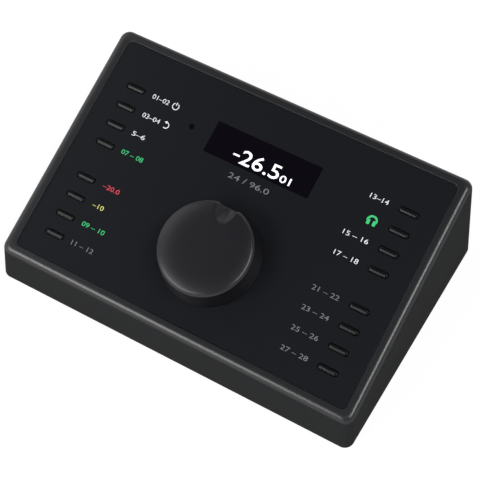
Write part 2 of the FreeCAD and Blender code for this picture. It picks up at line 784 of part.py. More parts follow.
def make_faceplate():
    body = body_at("faceplate", tilted=True)
    plate = sketch(body, "outline", at=(0, 0, seat))
    gap = S.face_gap
    rounded_box(plate, recess_left + gap, recess_near + gap, recess_right - gap, recess_far - gap,
                S.recess_corner - gap)
    pad(body, plate, S.face_thickness)
    for name, side in KEY_SIDES.items():
        slots = sketch(body, f"slots_{name}", at=(0, 0, face_top))
        for row in key_rows:
            pill(slots, side * key_x, row, S.key_length + 2 * S.key_gap, S.key_width + 2 * S.key_gap)
        pocket(body, slots)
    holes = sketch(body, "holes", at=(0, 0, face_top))
    rectangle(holes, 0, S.window_row, S.window_width, S.window_height)
    circle(holes, sensor_x, S.sensor_row, S.sensor_radius)
    circle(holes, 0, S.knob_row, S.bushing_radius + S.bushing_gap)
    pocket(body, holes)
    return body


def make_block(label, x, y, low, width, height, thickness, tilted=True):
    """A plain plate or block about x, y, standing on `low`."""
    body = body_at(label, tilted=tilted)
    outline = sketch(body, "outline", at=(0, 0, low))
    rectangle(outline, x, y, width, height)
    pad(body, outline, thickness)
    return body


def make_display():
    gap = 2 * S.window_gap
    make_block("display_window", 0, S.window_row, seat, S.window_width - gap, S.window_height - gap,
               S.face_thickness - S.window_gap)
    glass_low = roof_low - S.float_gap - S.display_thickness
    make_block("display_glass", 0, S.window_row, glass_low, display_width, display_height,
               S.display_thickness)
    make_block("display_board", 0, S.window_row, glass_low - S.thin_board,
               display_width + 2 * S.display_board_edge, display_height + 2 * S.display_board_edge,
               S.thin_board)
    # a ribbon folded in a Z between the display's board and the key board
    body = body_at("display_ribbon", tilted=True)
    side = sketch(body, "side", "YZ")
    top = glass_low - S.thin_board
    near = S.window_row - S.flex_width / 2
    far = S.window_row + S.flex_width / 2
    thin = S.flex_thickness
    polygon(side, [
        (near, top), (far, top), (far, top - thin), (near + 2 * thin, board_top + thin),
        (far, board_top + thin), (far, board_top), (near, board_top), (near, board_top + thin),
        (far - 2 * thin, top - thin), (near, top - thin),
    ])
    pad(body, side, S.flex_width, symmetric=True)


def make_sensor():
    body = body_at("sensor_lens", tilted=True)
    pipe_low = board_top + S.lamp_height + S.lamp_gap
    pipe = sketch(body, "pipe", at=(0, 0, pipe_low))
    circle(pipe, sensor_x, S.sensor_row, S.sensor_radius - S.guide_gap)
    pad(body, pipe, face_top - S.window_gap - pipe_low)
    flange = sketch(body, "flange", at=(0, 0, flange_low))
    circle(flange, sensor_x, S.sensor_row, S.sensor_radius + S.key_flange)
    pad(body, flange, S.flange_thickness)
    make_block("sensor_cell", sensor_x, S.sensor_row, board_top, S.cell_length, S.cell_width, S.lamp_height)


# ------------------------------------------------------------------ keys and what lies under them


def make_key(label, side, row):
    body = body_at(label, side * key_x, row, 0, tilted=True)
    cap_top = face_top + S.key_rise
    flange = sketch(body, "flange", at=(0, 0, flange_low))
    pill(flange, 0, 0, S.key_length + 2 * S.key_flange, S.key_width + 2 * S.key_flange)
    pad(body, flange, S.flange_thickness)
    cap = sketch(body, "cap", at=(0, 0, flange_top))
    pill(cap, 0, 0, S.key_length, S.key_width)
    pad(body, cap, cap_top - flange_top)
    stem = sketch(body, "stem", at=(0, 0, flange_low))
    stem_end = switch_top - S.switch_well + S.key_travel + S.well_gap
    rectangle(stem, 0, 0, S.stem_length, S.stem_width)
    pad(body, stem, flange_low - stem_end, reverse=True)
    height = number(cap_top)
    upper = edges_where(body.Tip.Shape, lambda e: all(abs(v.Point.z - height) < TOUCH for v in e.Vertexes))
    dress(body, "Fillet", upper, S.key_edge)
    return body


def make_key_parts():
    for name, side in KEY_SIDES.items():
        for index, row in enumerate(key_rows, start=1):
            make_key(f"key_{name}_{index}", side, row)

    switches = body_at("key_switches", tilted=True)
    guides = body_at("light_guides", tilted=True)
    lamps = body_at("indicator_lamps", tilted=True)
    guides_low = board_top + S.lamp_height + S.lamp_gap
    beyond = 2 * S.key_flange
    for name, side in KEY_SIDES.items():
        frames = sketch(switches, f"frames_{name}", at=(0, 0, board_top))
        wells = sketch(switches, f"wells_{name}", at=(0, 0, switch_top))
        blocks = sketch(guides, f"blocks_{name}", at=(0, 0, guides_low))
        flanges = sketch(guides, f"flanges_{name}", at=(0, 0, flange_low))
        outlines = sketch(lamps, f"outlines_{name}", at=(0, 0, board_top))
        for row in key_rows:
            rectangle(frames, side * key_x, row, S.switch_length, S.switch_width)
            rectangle(wells, side * key_x, row, S.stem_length + 2 * S.well_gap, S.stem_width + 2 * S.well_gap)
            rectangle(blocks, side * guide_x, row, S.guide_length, S.guide_width)
            rectangle(flanges, side * guide_x, row, S.guide_length + beyond, S.guide_width + beyond)
            rectangle(outlines, side * guide_x, row, S.lamp_length, S.lamp_width)
        pad(switches, frames, S.switch_height)
        pocket(switches, wells, S.switch_well)
        pad(guides, blocks, seat - S.window_gap - guides_low)
        pad(guides, flanges, S.flange_thickness)
        pad(lamps, outlines, S.lamp_height)


# ------------------------------------------------------------------ key board

def make_key_board():
    body = body_at("key_board", tilted=True)
    outline = sketch(body, "outline", at=(0, 0, board_low))
    half = key_board_width / 2
    rounded_box(outline, -half, S.key_board_front, half, key_board_far, S.recess_corner)
    pad(body, outline, S.board_thickness)
    holes = sketch(body, "holes", at=(0, 0, board_top))
    for x, row in board_bosses:
        circle(holes, x, row, S.screw_radius + S.bushing_gap)
    pocket(body, holes)


# ------------------------------------------------------------------ knob and encoder


def make_knob():
    base = face_top + S.knob_gap
    top = base + S.knob_height
    ceiling = top - S.knob_crown
    hub_low = ceiling - S.hub_length
    hub_hole = S.hub_radius + S.press_gap
    boss = hub_hole + S.hub_wall
    cap = body_at("knob_cap", 0, S.knob_row, 0, tilted=True)
    profile = sketch(cap, "profile", "XZ")
    polygon(profile, [
        (0, ceiling),
        (hub_hole, ceiling),
        (hub_hole, hub_low),
        (boss, hub_low),
        (boss, ceiling),
        (S.knob_top_radius - S.knob_skirt, ceiling),
        (S.knob_base_radius - S.knob_skirt, base),
        (S.knob_base_radius, base),
        (S.knob_top_radius, top),
        (0, top),
    ])
    revolve(cap, profile)
    level = number(top)

    def crown_edge(edge):
        flat = all(abs(v.Point.z - level) < TOUCH for v in edge.Vertexes)
        return flat and edge.Length > S.knob_top_radius.value

    dress(cap, "Fillet", edges_where(cap.Tip.Shape, crown_edge), S.knob_round)
    scoop = cap.newObject("PartDesign::SubtractiveSphere", "knob_dimple")
    plane = next(f for f in cap.Origin.OriginFeatures if f.Role == "XY_Plane")
    scoop.AttachmentSupport = [(plane, "")]
    scoop.MapMode = "FlatFace"
    bind(scoop, "AttachmentOffset.Base.y", S.dimple_reach)
    bind(scoop, "AttachmentOffset.Base.z", top + S.dimple_radius - S.dimple_depth)
    bind(scoop, "Radius", S.dimple_radius)
    doc.recompute()

    hub = body_at("knob_hub", 0, S.knob_row, 0, tilted=True)
    disc = sketch(hub, "disc", at=(0, 0, hub_low))
    circle(disc, 0, 0, S.hub_radius)
    pad(hub, disc, S.hub_length - S.press_gap)
    bore = sketch(hub, "bore", at=(0, 0, hub_low))
    flatted_round(bore, S.shaft_radius + S.press_gap, S.shaft_flat + S.press_gap)
    pocket(hub, bore, S.shaft_flat_length + S.running_gap, reverse=True)

    shaft = body_at("encoder_shaft", 0, S.knob_row, 0, tilted=True)
    shaft_top = hub_low + S.shaft_flat_length
    round_part = sketch(shaft, "round", at=(0, 0, shaft_low))
    circle(round_part, 0, 0, S.shaft_radius)
    pad(shaft, round_part, hub_low - S.running_gap - shaft_low)
    flat_part = sketch(shaft, "flat", at=(0, 0, hub_low - S.running_gap))
    flatted_round(flat_part, S.shaft_radius, S.shaft_flat)
    pad(shaft, flat_part, shaft_top - hub_low)


def make_encoder():
    encoder_top = roof_low - S.float_gap
    case = body_at("encoder_body", 0, S.knob_row, 0, tilted=True)
    block = sketch(case, "block", at=(0, 0, board_top))
    rectangle(block, 0, 0, S.encoder_side, S.encoder_side)
    pad(case, block, encoder_top - board_top)
    bore = sketch(case, "bore", at=(0, 0, encoder_top))
    circle(bore, 0, 0, S.shaft_radius + S.bushing_gap)
    pocket(case, bore, encoder_top - shaft_low + 2 * S.float_gap)

    bushing = body_at("encoder_bushing", 0, S.knob_row, 0, tilted=True)
    ring = sketch(bushing, "ring", at=(0, 0, encoder_top))
    circle(ring, 0, 0, S.bushing_radius)
    circle(ring, 0, 0, S.shaft_radius + S.running_gap)
    pad(bushing, ring, S.bushing_rise - encoder_top)

    washer = body_at("encoder_washer", 0, S.knob_row, 0, tilted=True)
    ring = sketch(washer, "ring", at=(0, 0, face_top))
    circle(ring, 0, 0, S.washer_radius)
    circle(ring, 0, 0, S.bushing_radius + S.running_gap)
    pad(washer, ring, S.washer_thickness)

    nut = body_at("encoder_nut", 0, S.knob_row, 0, tilted=True)
    ring = sketch(nut, "ring", at=(0, 0, face_top + S.washer_thickness))
    hexagon(ring, 0, 0, S.nut_flats / math.sqrt(3))
    circle(ring, 0, 0, S.bushing_radius + S.running_gap)
    pad(nut, ring, S.nut_thickness)


# ------------------------------------------------------------------ bottom cover, feet and main board


def make_bottom_cover():
    body = body_at("bottom_cover")
    gap = S.cover_gap
    inset = S.wall + gap
    draft = tangent(S.side_draft)
    front = y_front + inset / cosine(S.front_lean) + S.panel_thickness * tangent(S.front_lean)
    rear = wall_inner - gap

    def half_width(place):
        depth = (z_rim - z_base - S.panel_thickness) * cos_tilt + (place - y_rim) * sin_tilt
        return half_rim + depth * draft - inset / cosine(S.side_draft)

    outline = sketch(body, "outline", at=(0, 0, z_base))
    polygon(outline, [
        (-half_width(front), front),
        (half_width(front), front),
        (half_width(rear), rear),
        (-half_width(rear), rear),
    ])
    pad(body, outline, S.panel_thickness)

    def corner(edge):
        first, second = ends(edge)
        return abs(first.z - second.z) > S.panel_thickness.value / 2

    dress(body, "Fillet", edges_where(body.Tip.Shape, corner), S.corner_radius - S.wall)
    holes = sketch(body, "holes", at=(0, 0, cover_top))
    for x, place in cover_bosses:
        circle(holes, x, place, S.screw_radius + S.bushing_gap)
    pocket(body, holes)


def make_feet():
    for side_name, side in KEY_SIDES.items():
        for end_name, place in (("front", y_front + S.foot_edge), ("rear", y_rear - S.foot_edge)):
            body = body_at(f"foot_{end_name}_{side_name}", side * foot_x, place, 0)
            disc = sketch(body, "disc")
            circle(disc, 0, 0, S.foot_radius)
            pad(body, disc, S.foot_height)
            lower = edges_where(body.Tip.Shape, lambda e: all(abs(v.Point.z) < TOUCH for v in e.Vertexes))
            dress(body, "Chamfer", lower, S.foot_bevel)


def make_main_board():
    middle = (main_front + main_rear) / 2
    body = body_at("main_board")
    outline = sketch(body, "outline", at=(0, 0, main_low))
    rectangle(outline, 0, middle, main_board_width, main_rear - main_front)
    pad(body, outline, S.board_thickness)
    holes = sketch(body, "holes", at=(0, 0, main_top))
    for x, place in main_screws:
        circle(holes, x, place, S.screw_radius + S.bushing_gap)
    pocket(body, holes)

    standoffs = body_at("standoffs")
    posts = sketch(standoffs, "posts", at=(0, 0, cover_top))
    for x, place in main_screws:
        circle(posts, x, place, S.standoff_radius)
        circle(posts, x, place, S.screw_radius + S.running_gap)
    pad(standoffs, posts, S.standoff_height)

    shield = body_at("processor_shield")
    shell = sketch(shield, "shell", at=(0, 0, main_top))
    rectangle(shell, 0, middle, S.shield_length, S.shield_width)
    pad(shield, shell, S.shield_height)
    inside = sketch(shield, "inside", at=(0, 0, main_top))
    rectangle(inside, 0, middle, S.shield_length - 2 * S.shield_wall, S.shield_width - 2 * S.shield_wall)
    pocket(shield, inside, S.shield_height - S.shield_wall, reverse=True)

    cans = body_at("capacitors")
    rounds = sketch(cans, "rounds", at=(0, 0, main_top))
    for i in range(CAPACITORS):
        across = -half_main + S.capacitor_pitch * (i + 1)
        circle(rounds, across, middle, S.capacitor_radius)
    pad(cans, rounds, S.capacitor_height)

    relays = body_at("audio_relays")
    boxes = sketch(relays, "boxes", at=(0, 0, main_top))
    for i in range(RELAYS):
        across = half_main - S.capacitor_pitch - S.relay_pitch * i
        rectangle(boxes, across, middle, S.relay_width, S.relay_length)
    pad(relays, boxes, S.relay_height)

    # flat ribbon from the key board's underside down to the main board
    ribbon = body_at("board_ribbon", x=S.cable_inset - half_main)
    side = sketch(ribbon, "side", "YZ")
    upper = middle
    lower = middle + S.cable_width / 2
    thick = S.cable_thickness
    under = z_rim + board_low / cos_tilt + (upper - y_rim) * tan_tilt
    bend = (under - main_top) / 4    # length of each straight end
    polygon(side, [
        (upper, under),
        (upper, under - bend),
        (lower, main_top + bend),
        (lower, main_top),
        (lower + thick, main_top),
        (lower + thick, main_top + bend),
        (upper + thick, under - bend),
        (upper + thick, under + thick * tan_tilt),
    ])
    pad(ribbon, side, S.cable_width, symmetric=True)


# ------------------------------------------------------------------ rear panel and sockets


def make_rear_panel():
    body = body_at("rear_panel")
    gap = S.panel_gap
    half = bay_width / 2 - gap
    plate = rear_sketch(body, "plate", panel_inner)
    rounded_box(plate, -half, bay_bottom + gap, half, bay_top - gap, S.bay_corner - gap)
    pad(body, plate, S.panel_thickness, reverse=True)
    holes = rear_sketch(body, "holes", panel_inner)
    around = 2 * S.socket_gap
    for x in network_sockets.values():
        rectangle(
            holes, x, main_top + S.network_height / 2, S.network_width + around, S.network_height + around
        )
    pill(holes, socket_x["usb"], main_top + S.usb_height / 2, S.usb_width + around, S.usb_height + around)
    circle(holes, socket_x["inlet"], inlet_axis, S.inlet_radius + S.socket_gap)
    circle(holes, socket_x["jack"], jack_axis, S.jack_nose + S.socket_gap)
    for x in line_inputs.values():
        circle(holes, x, line_axis, S.line_barrel + S.socket_gap)
    for x, level in bay_screws + flange_screws:
        circle(holes, x, level, S.screw_radius + S.bushing_gap)
    pocket(body, holes)


def make_line_input(label, x):
    body = body_at(label, x, panel_outer, line_axis)
    flange = sketch(body, "flange", "XZ")
    half_width = S.line_flange_width / 2
    half_height = S.line_flange_height / 2
    rounded_box(flange, -half_width, -half_height, half_width, half_height, S.bay_corner)
    pad(body, flange, S.line_flange, reverse=True)
    barrel = sketch(body, "barrel", "XZ")
    circle(barrel, 0, 0, S.line_barrel)
    pad(body, barrel, S.line_length)
    groove = sketch(body, "groove", "XZ", (0, 0, -S.line_flange))
    circle(groove, 0, 0, S.line_cup)
    circle(groove, 0, 0, S.line_core)
    pocket(body, groove, S.line_depth, reverse=True)
    contacts = sketch(body, "contacts", "XZ", (0, 0, -S.line_flange))
    for angle in CONTACT_ANGLES:
        across = S.line_contact_circle * math.cos(math.radians(angle))
        up = S.line_contact_circle * math.sin(math.radians(angle))
        circle(contacts, across, up, S.line_contact)
    for side in (-1, 1):
        circle(contacts, side * S.line_screw_x, side * S.line_screw_row, S.screw_radius + S.bushing_gap)
    pocket(body, contacts, S.line_depth, reverse=True)


def make_network_socket(label, x):
    body = body_at(label, x, panel_outer, main_top)
    shell = sketch(body, "shell", "XZ")
    rectangle(shell, 0, S.network_height / 2, S.network_width, S.network_height)
    pad(body, shell, S.network_length)
    mouth = sketch(body, "mouth", "XZ")
    rectangle(mouth, 0, S.network_floor + S.network_mouth_height / 2, S.network_mouth_width,
              S.network_mouth_height)
    pocket(body, mouth, S.network_mouth_depth, reverse=True)


def make_small_sockets():
    usb = body_at("usb_socket", socket_x["usb"], panel_outer, main_top)
    shell = sketch(usb, "shell", "XZ")
    pill(shell, 0, S.usb_height / 2, S.usb_width, S.usb_height)
    pad(usb, shell, S.usb_length)
    mouth = sketch(usb, "mouth", "XZ")
    pill(mouth, 0, S.usb_height / 2, S.usb_width - 2 * S.usb_shell, S.usb_height - 2 * S.usb_shell)
    rectangle(mouth, 0, S.usb_height / 2, S.usb_width - S.usb_height, 2 * S.usb_shell)
    pocket(usb, mouth, S.usb_length - 2 * S.usb_shell, reverse=True)

    inlet = body_at("power_inlet", socket_x["inlet"], panel_inner - S.socket_gap, inlet_axis)
    block = sketch(inlet, "block", "XZ")
    rectangle(block, 0, 0, S.inlet_width, S.inlet_height)
    pad(inlet, block, S.inlet_length)
    nose = sketch(inlet, "nose", "XZ")
    circle(nose, 0, 0, S.inlet_radius)
    nose_length = S.panel_thickness + S.socket_gap
    pad(inlet, nose, nose_length, reverse=True)
    bore = sketch(inlet, "bore", "XZ", (0, 0, -nose_length))
    circle(bore, 0, 0, S.inlet_bore)
    circle(bore, 0, 0, S.inlet_pin)
    pocket(inlet, bore, S.inlet_depth, reverse=True)

    jack = body_at("headphone_jack", socket_x["jack"], panel_inner - S.socket_gap, jack_axis)
    block = sketch(jack, "block", "XZ")
    rectangle(block, 0, 0, S.jack_width, S.jack_height)
    pad(jack, block, S.jack_length)
    nose = sketch(jack, "nose", "XZ")
    circle(nose, 0, 0, S.jack_nose)
    nose_length = S.panel_thickness + S.socket_gap + S.jack_nose_length
    pad(jack, nose, nose_length, reverse=True)
    bore = sketch(jack, "bore", "XZ", (0, 0, -nose_length))
    circle(bore, 0, 0, S.jack_bore)
    pocket(jack, bore, nose_length + S.jack_length - S.panel_thickness, reverse=True)

    nut = body_at("headphone_nut", socket_x["jack"], panel_outer, jack_axis)
    ring = sketch(nut, "ring", "XZ")
    hexagon(ring, 0, 0, S.jack_nut_radius)
    circle(ring, 0, 0, S.jack_nose + S.running_gap)
    pad(nut, ring, S.jack_nut_thickness, reverse=True)


# ------------------------------------------------------------------ screws


def make_screws(label, places, seat_level, clamped, plane="XY", head_up=False, tilted=False):
    """Identical pan-head screws: the seat is the face under the heads, `clamped` the sheet they pass."""
    body = body_at(label, tilted=tilted)
    for part, (pairs, level) in enumerate(zip(places, seat_level)):
        at = (0, 0, level if plane == "XY" else -level)
        heads = sketch(body, f"heads_{part}", plane, at)
        shanks = sketch(body, f"shanks_{part}", plane, at)
        lift = S.screw_head_height if head_up else -S.screw_head_height
        drives_at = (0, 0, at[2] + lift)
        drives = sketch(body, f"drives_{part}", plane, drives_at)
        for x, y in pairs:
            circle(heads, x, y, S.screw_head)
            circle(shanks, x, y, S.screw_radius)
            hexagon(drives, x, y, S.screw_drive)
        pad(body, heads, S.screw_head_height, reverse=not head_up)
        pad(body, shanks, clamped[part] + S.screw_length, reverse=head_up)
        pocket(body, drives, S.screw_drive_depth, reverse=not head_up)
    return body


def make_all_screws():
    make_screws("key_board_screws", [board_bosses], [board_low], [S.board_thickness], tilted=True)
    make_screws("cover_screws", [cover_bosses], [z_base], [S.panel_thickness])
    make_screws("main_board_screws", [main_screws], [main_top], [S.board_thickness], head_up=True)
    flange_face = panel_outer + S.line_flange
    # the plate's screws end flush with the inside of the rear wall, the flanges' just behind the plate
    plate_clamp = S.panel_thickness + S.rear_wall - S.bay_depth - S.screw_length
    flange_clamp = S.line_flange + S.panel_thickness - S.screw_length / 2
    make_screws(
        "rear_panel_screws",
        [bay_screws, flange_screws],
        [panel_outer, flange_face],
        [plate_clamp, flange_clamp],
        plane="XZ",
    )


# ------------------------------------------------------------------ build, check and write

make_housing()
make_faceplate()
make_display()
make_sensor()
make_key_parts()
make_key_board()
make_knob()
make_encoder()
make_bottom_cover()
make_feet()
make_main_board()
make_rear_panel()
for name, x in line_inputs.items():
    make_line_input(f"line_input_{name}", x)
for name, x in network_sockets.items():
    make_network_socket(f"network_socket_{name}", x)
make_small_sockets()
make_all_screws()
doc.recompute()

for item in doc.Objects:
    if "Invalid" in item.State or "Error" in item.State:
        raise ValueError(f"{item.Name} failed: {item.State}")

HELPERS = {"housing_cavity"}
nodes = [item for item in doc.Objects if item.TypeId == "PartDesign::Body" and item.Label not in HELPERS]
for node in nodes:
    if node.Shape.isNull() or not node.Shape.isValid() or not node.Shape.Solids:
        raise ValueError(f"{node.Label} has no valid shape")

os.makedirs("parts", exist_ok=True)
for node in nodes:
    node.Shape.exportStep(f"parts/{node.Label}.step")
    box = node.Shape.BoundBox
    print(f"{node.Label:22s} solids {len(node.Shape.Solids):2d}  volume {node.Shape.Volume:10.1f}  "
          f"z {box.ZMin:7.2f} {box.ZMax:7.2f}")
print(len(nodes), "nodes")
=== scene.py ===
import math

import bpy
import bmesh
import numpy as np
from mathutils import Matrix, Vector


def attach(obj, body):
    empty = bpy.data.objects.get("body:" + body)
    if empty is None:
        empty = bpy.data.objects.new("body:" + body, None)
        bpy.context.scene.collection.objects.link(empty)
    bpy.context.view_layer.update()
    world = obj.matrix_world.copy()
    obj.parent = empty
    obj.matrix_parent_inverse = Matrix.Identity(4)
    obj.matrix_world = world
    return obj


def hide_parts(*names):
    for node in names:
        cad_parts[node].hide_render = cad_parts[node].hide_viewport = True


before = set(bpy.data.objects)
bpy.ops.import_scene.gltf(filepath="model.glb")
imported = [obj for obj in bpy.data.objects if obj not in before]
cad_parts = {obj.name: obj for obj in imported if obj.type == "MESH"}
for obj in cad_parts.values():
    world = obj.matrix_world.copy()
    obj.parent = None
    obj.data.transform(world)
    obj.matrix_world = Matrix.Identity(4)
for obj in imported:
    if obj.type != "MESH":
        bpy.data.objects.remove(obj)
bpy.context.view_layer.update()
scene = bpy.context.scene

# ---------------------------------------------------------------- camera
# A long lens above the front right corner, looking down on the sloping panel and two of the walls. The three
# axes are the picture's right, down and ahead in the object's frame; the eye is in metres.

EYE = (0.203952, -0.291909, 0.642680)
RIGHT = (0.865844, 0.498414, -0.043563)
DOWN = (0.414749, -0.763736, -0.494663)
AHEAD = (-0.279818, 0.410233, -0.867992)
FRAME_PIXELS = 480
FOCAL_PIXELS = 1391.18


def linked(name, data):
    """A new object at the origin that holds `data`, linked into the scene."""
    thing = bpy.data.objects.new(name, data)
    scene.collection.objects.link(thing)
    return thing


camera = linked("camera", bpy.data.cameras.new("camera"))
camera.data.sensor_width = 36.0
camera.data.lens = camera.data.sensor_width * FOCAL_PIXELS / FRAME_PIXELS
camera.data.clip_start = 0.01
turn = Matrix((RIGHT, -Vector(DOWN), -Vector(AHEAD))).transposed()
camera.matrix_world = Matrix.Translation(EYE) @ turn.to_4x4()
scene.camera = camera

# ---------------------------------------------------------------- housing
# One die-cast aluminium wedge: a raised rim round the sloping panel, drafted walls and a bay at the rear.
# It is powder coated matt black with a fine tooth. Sizes are in millimetres, in the panel's own frame where
# x runs across, y up the slope from the front edge of the rim and z square out of the crest of the rim.

TILT = math.radians(16.2)
FRONT_LEAN = math.radians(10.0)
SIDE_DRAFT = math.radians(4.2)
HALF_RIM, RIM_DEPTH = 101.6, 134.4
BASE_Z, FRONT_HEIGHT = 2.0, 22.6
RIM_Y = (FRONT_HEIGHT * math.tan(FRONT_LEAN) - RIM_DEPTH * math.cos(TILT)) / 2
RIM_Z = BASE_Z + FRONT_HEIGHT
REAR_Y = RIM_Y + RIM_DEPTH * math.cos(TILT)
WALL, REAR_WALL = 2.5, 6.5
CORNER, RECESS_CORNER = 5.0, 3.0
FACE_TOP, SEAT, ROOF_LOW = -0.8, -1.8, -4.0
SLOPE_RUN, SLOPE_STRAIGHT, CREST_BEND, LIP_EASE = 0.3, 0.6, 0.15, 0.06
LEDGE_INSET = 10.0
FOOT_ROUND = 0.5

# insets and angles are in the order of the sides: front, right, rear, left
RECESS = np.array([5.2, 6.1, 6.0, 6.1])
WALL_ANGLE = np.array([
    math.pi / 2 - TILT - FRONT_LEAN,
    math.pi / 2 - SIDE_DRAFT,
    math.pi / 2 + TILT,
    math.pi / 2 - SIDE_DRAFT,
])
RIM_ROUND = np.array([4.3, 3.5, 2.5, 2.95])
ARC_STEPS = 14
SIDE_STEPS = (48, 32, 48, 32)


def on_panel(points):
    """Metres in the object's frame from millimetres in the panel's: x stays, y and z turn by the tilt."""
    x, y, z = np.moveaxis(np.asarray(points, float), -1, 0)
    rise, reach = math.sin(TILT), math.cos(TILT)
    return np.stack([x, RIM_Y + y * reach - z * rise, RIM_Z + y * rise + z * reach], -1) / 1000


def rounded_quad(corners, radius, arc_steps=ARC_STEPS, side_steps=SIDE_STEPS):
    """A closed line round four corners, counterclockwise. Each corner is an arc whose centre lies `radius`
    inside both sides; each side is divided evenly between the arcs."""
    corners = np.asarray(corners, float)
    ahead = np.roll(corners, -1, 0) - corners
    ahead /= np.linalg.norm(ahead, axis=1)[:, None]
    out = np.stack([ahead[:, 1], -ahead[:, 0]], 1)
    before = np.roll(out, 1, 0)
    centre = corners - radius * (before + out) / (1 + (before * out).sum(1))[:, None]
    start = np.arctan2(before[:, 1], before[:, 0])
    sweep = (np.arctan2(out[:, 1], out[:, 0]) - start) % (2 * math.pi)
    angle = start[:, None] + sweep[:, None] * np.linspace(0, 1, arc_steps + 1)
    arcs = centre[:, None] + radius * np.stack([np.cos(angle), np.sin(angle)], -1)
    line = []
    for i in range(4):
        share = np.linspace(0, 1, side_steps[i] + 1)[1:-1, None]
        line += [arcs[i], arcs[i, -1] * (1 - share) + arcs[(i + 1) % 4, 0] * share]
    return np.concatenate(line)


def side_shares(arc_steps=ARC_STEPS, side_steps=SIDE_STEPS):
    """How much each of the four sides counts at each point of that line: all on its own side, and a smooth
    step from one side to the next round a corner."""
    rows = []
    for i in range(4):
        t = np.linspace(0, 1, arc_steps + 1)
        t = t * t * (3 - 2 * t)
        corner = np.zeros((arc_steps + 1, 4))
        corner[:, i - 1] = 1 - t
        corner[:, i] = t
        side = np.zeros((side_steps[i] - 1, 4))
        side[:, i] = 1
        rows += [corner, side]
    return np.concatenate(rows)


def grid_mesh(name, grid, ring=False):
    """A mesh with a vertex at each point of a (rows, columns, 3) grid and a quad between each four. The
    columns close round, and the rows close as well where `ring` is set."""
    rows, columns = grid.shape[:2]
    index = np.arange(rows * columns).reshape(rows, columns)
    index = np.hstack([index, index[:, :1]])
    if ring:
        index = np.vstack([index, index[:1]])
    quads = np.stack([index[:-1, :-1], index[1:, :-1], index[1:, 1:], index[:-1, 1:]], -1).reshape(-1, 4)
    mesh = bpy.data.meshes.new(name)
    mesh.from_pydata(grid.reshape(-1, 3).tolist(), [], quads.tolist())
    return mesh


def clean(mesh, sharp=35.0, join=1e-6):
    """Merge doubled points, turn every face outwards and keep only edges above `sharp` degrees hard."""
    work = bmesh.new()
    work.from_mesh(mesh)
    bmesh.ops.remove_doubles(work, verts=work.verts, dist=join)
    bmesh.ops.recalc_face_normals(work, faces=work.faces)
    work.to_mesh(mesh)
    work.free()
    mesh.shade_smooth()
    mesh.set_sharp_from_angle(angle=math.radians(sharp))
    return mesh


def add_piece(mesh, material, body, replaces=()):
    """Show a finished mesh as a piece that rides on a body, in a finish of the record."""
    piece = linked(mesh.name, mesh)
    mesh.materials.clear()
    mesh.materials.append(material)
    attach(piece, body)
    if replaces:
        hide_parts(*replaces)
    return piece


def set_inputs(tree, node, inputs):
    """Set each input of a node, by its name or number, to a value, or link it to another node's output."""
    for key, value in inputs.items():
        if isinstance(value, bpy.types.NodeSocket):
            tree.links.new(value, node.inputs[key])
        else:
            node.inputs[key].default_value = value


def add_node(tree, kind, inputs, operation=None, colour=False):
    """A new shader node of a kind, with its inputs set or linked. A mix node blends colours if asked to."""
    node = tree.nodes.new("ShaderNode" + kind)
    if operation:
        node.operation = operation
    if colour:
        node.data_type = "RGBA"
    set_inputs(tree, node, inputs)
    return node


ROUGHNESS_DRIFT = 0.05


def grained(name, colour, roughness, grain=0.35, tooth=0.02, mottle=0.12, patch=9.0, metal=0.0, gloss=0.5):
    """A moulded or coated finish. Its colour drifts by `mottle` over patches of `patch` mm. A fine noise with
    a grain of `grain` mm moves its roughness a little and gives it a bite, a bump `tooth` mm deep."""
    material = bpy.data.materials.new(name)
    material.use_nodes = True
    tree = material.node_tree
    place = add_node(tree, "TexCoord", {}).outputs["Object"]
    drift = add_node(tree, "TexNoise", {"Vector": place, "Scale": 1000 / patch, "Detail": 4})
    tone = add_node(tree, "Mix", {
        "Factor": drift.outputs["Fac"],
        "A": (*(c * (1 - mottle) for c in colour), 1),
        "B": (*(min(c * (1 + mottle), 1) for c in colour), 1),
    }, colour=True)
    fine = add_node(tree, "TexNoise", {"Vector": place, "Scale": 1000 / grain, "Detail": 2}).outputs["Fac"]
    polish = add_node(tree, "MapRange", {
        "Value": fine, "To Min": roughness - ROUGHNESS_DRIFT, "To Max": roughness + ROUGHNESS_DRIFT})
    bite = add_node(tree, "Bump", {"Height": fine, "Distance": tooth / 1000})
    set_inputs(tree, tree.nodes["Principled BSDF"], {
        "Base Color": tone.outputs["Result"],
        "Roughness": polish.outputs["Result"],
        "Normal": bite.outputs["Normal"],
        "Metallic": metal,
        "Specular IOR Level": gloss,
    })
    return material


def rim_row(insets, heights, radius):
    """One line of the rim round the panel: each side lies `inset` inside the rim's edge at its own height."""
    front, right, rear, left = insets
    corners = [(left - HALF_RIM, front), (HALF_RIM - right, front), (HALF_RIM - right, RIM_DEPTH - rear),
               (left - HALF_RIM, RIM_DEPTH - rear)]
    line = rounded_quad(corners, radius)
    return on_panel(np.column_stack([line, side_shares() @ np.broadcast_to(heights, 4)]))


def base_row(level, inset):
    """One line round the walls at a level above the table, `inset` inside their outer faces. The side walls
    stand out further where they are deeper below the rim, so the outline is a slightly tapered quad."""
    inset = np.broadcast_to(inset, 4)
    front = RIM_Y - (RIM_Z - level) * math.tan(FRONT_LEAN) + inset[0] / math.cos(FRONT_LEAN)
    rear = REAR_Y - inset[2]

    def half(place, inward):
        """Half the width across the walls at one depth along y."""
        depth = (RIM_Z - level) * math.cos(TILT) + (place - RIM_Y) * math.sin(TILT)
        return HALF_RIM + depth * math.tan(SIDE_DRAFT) - inward / math.cos(SIDE_DRAFT)

    corners = [(-half(front, inset[3]), front), (half(front, inset[1]), front), (half(rear, inset[1]), rear),
               (-half(rear, inset[3]), rear)]
    line = rounded_quad(corners, CORNER - inset.min())
    return np.column_stack([line, np.full(len(line), level)]) / 1000


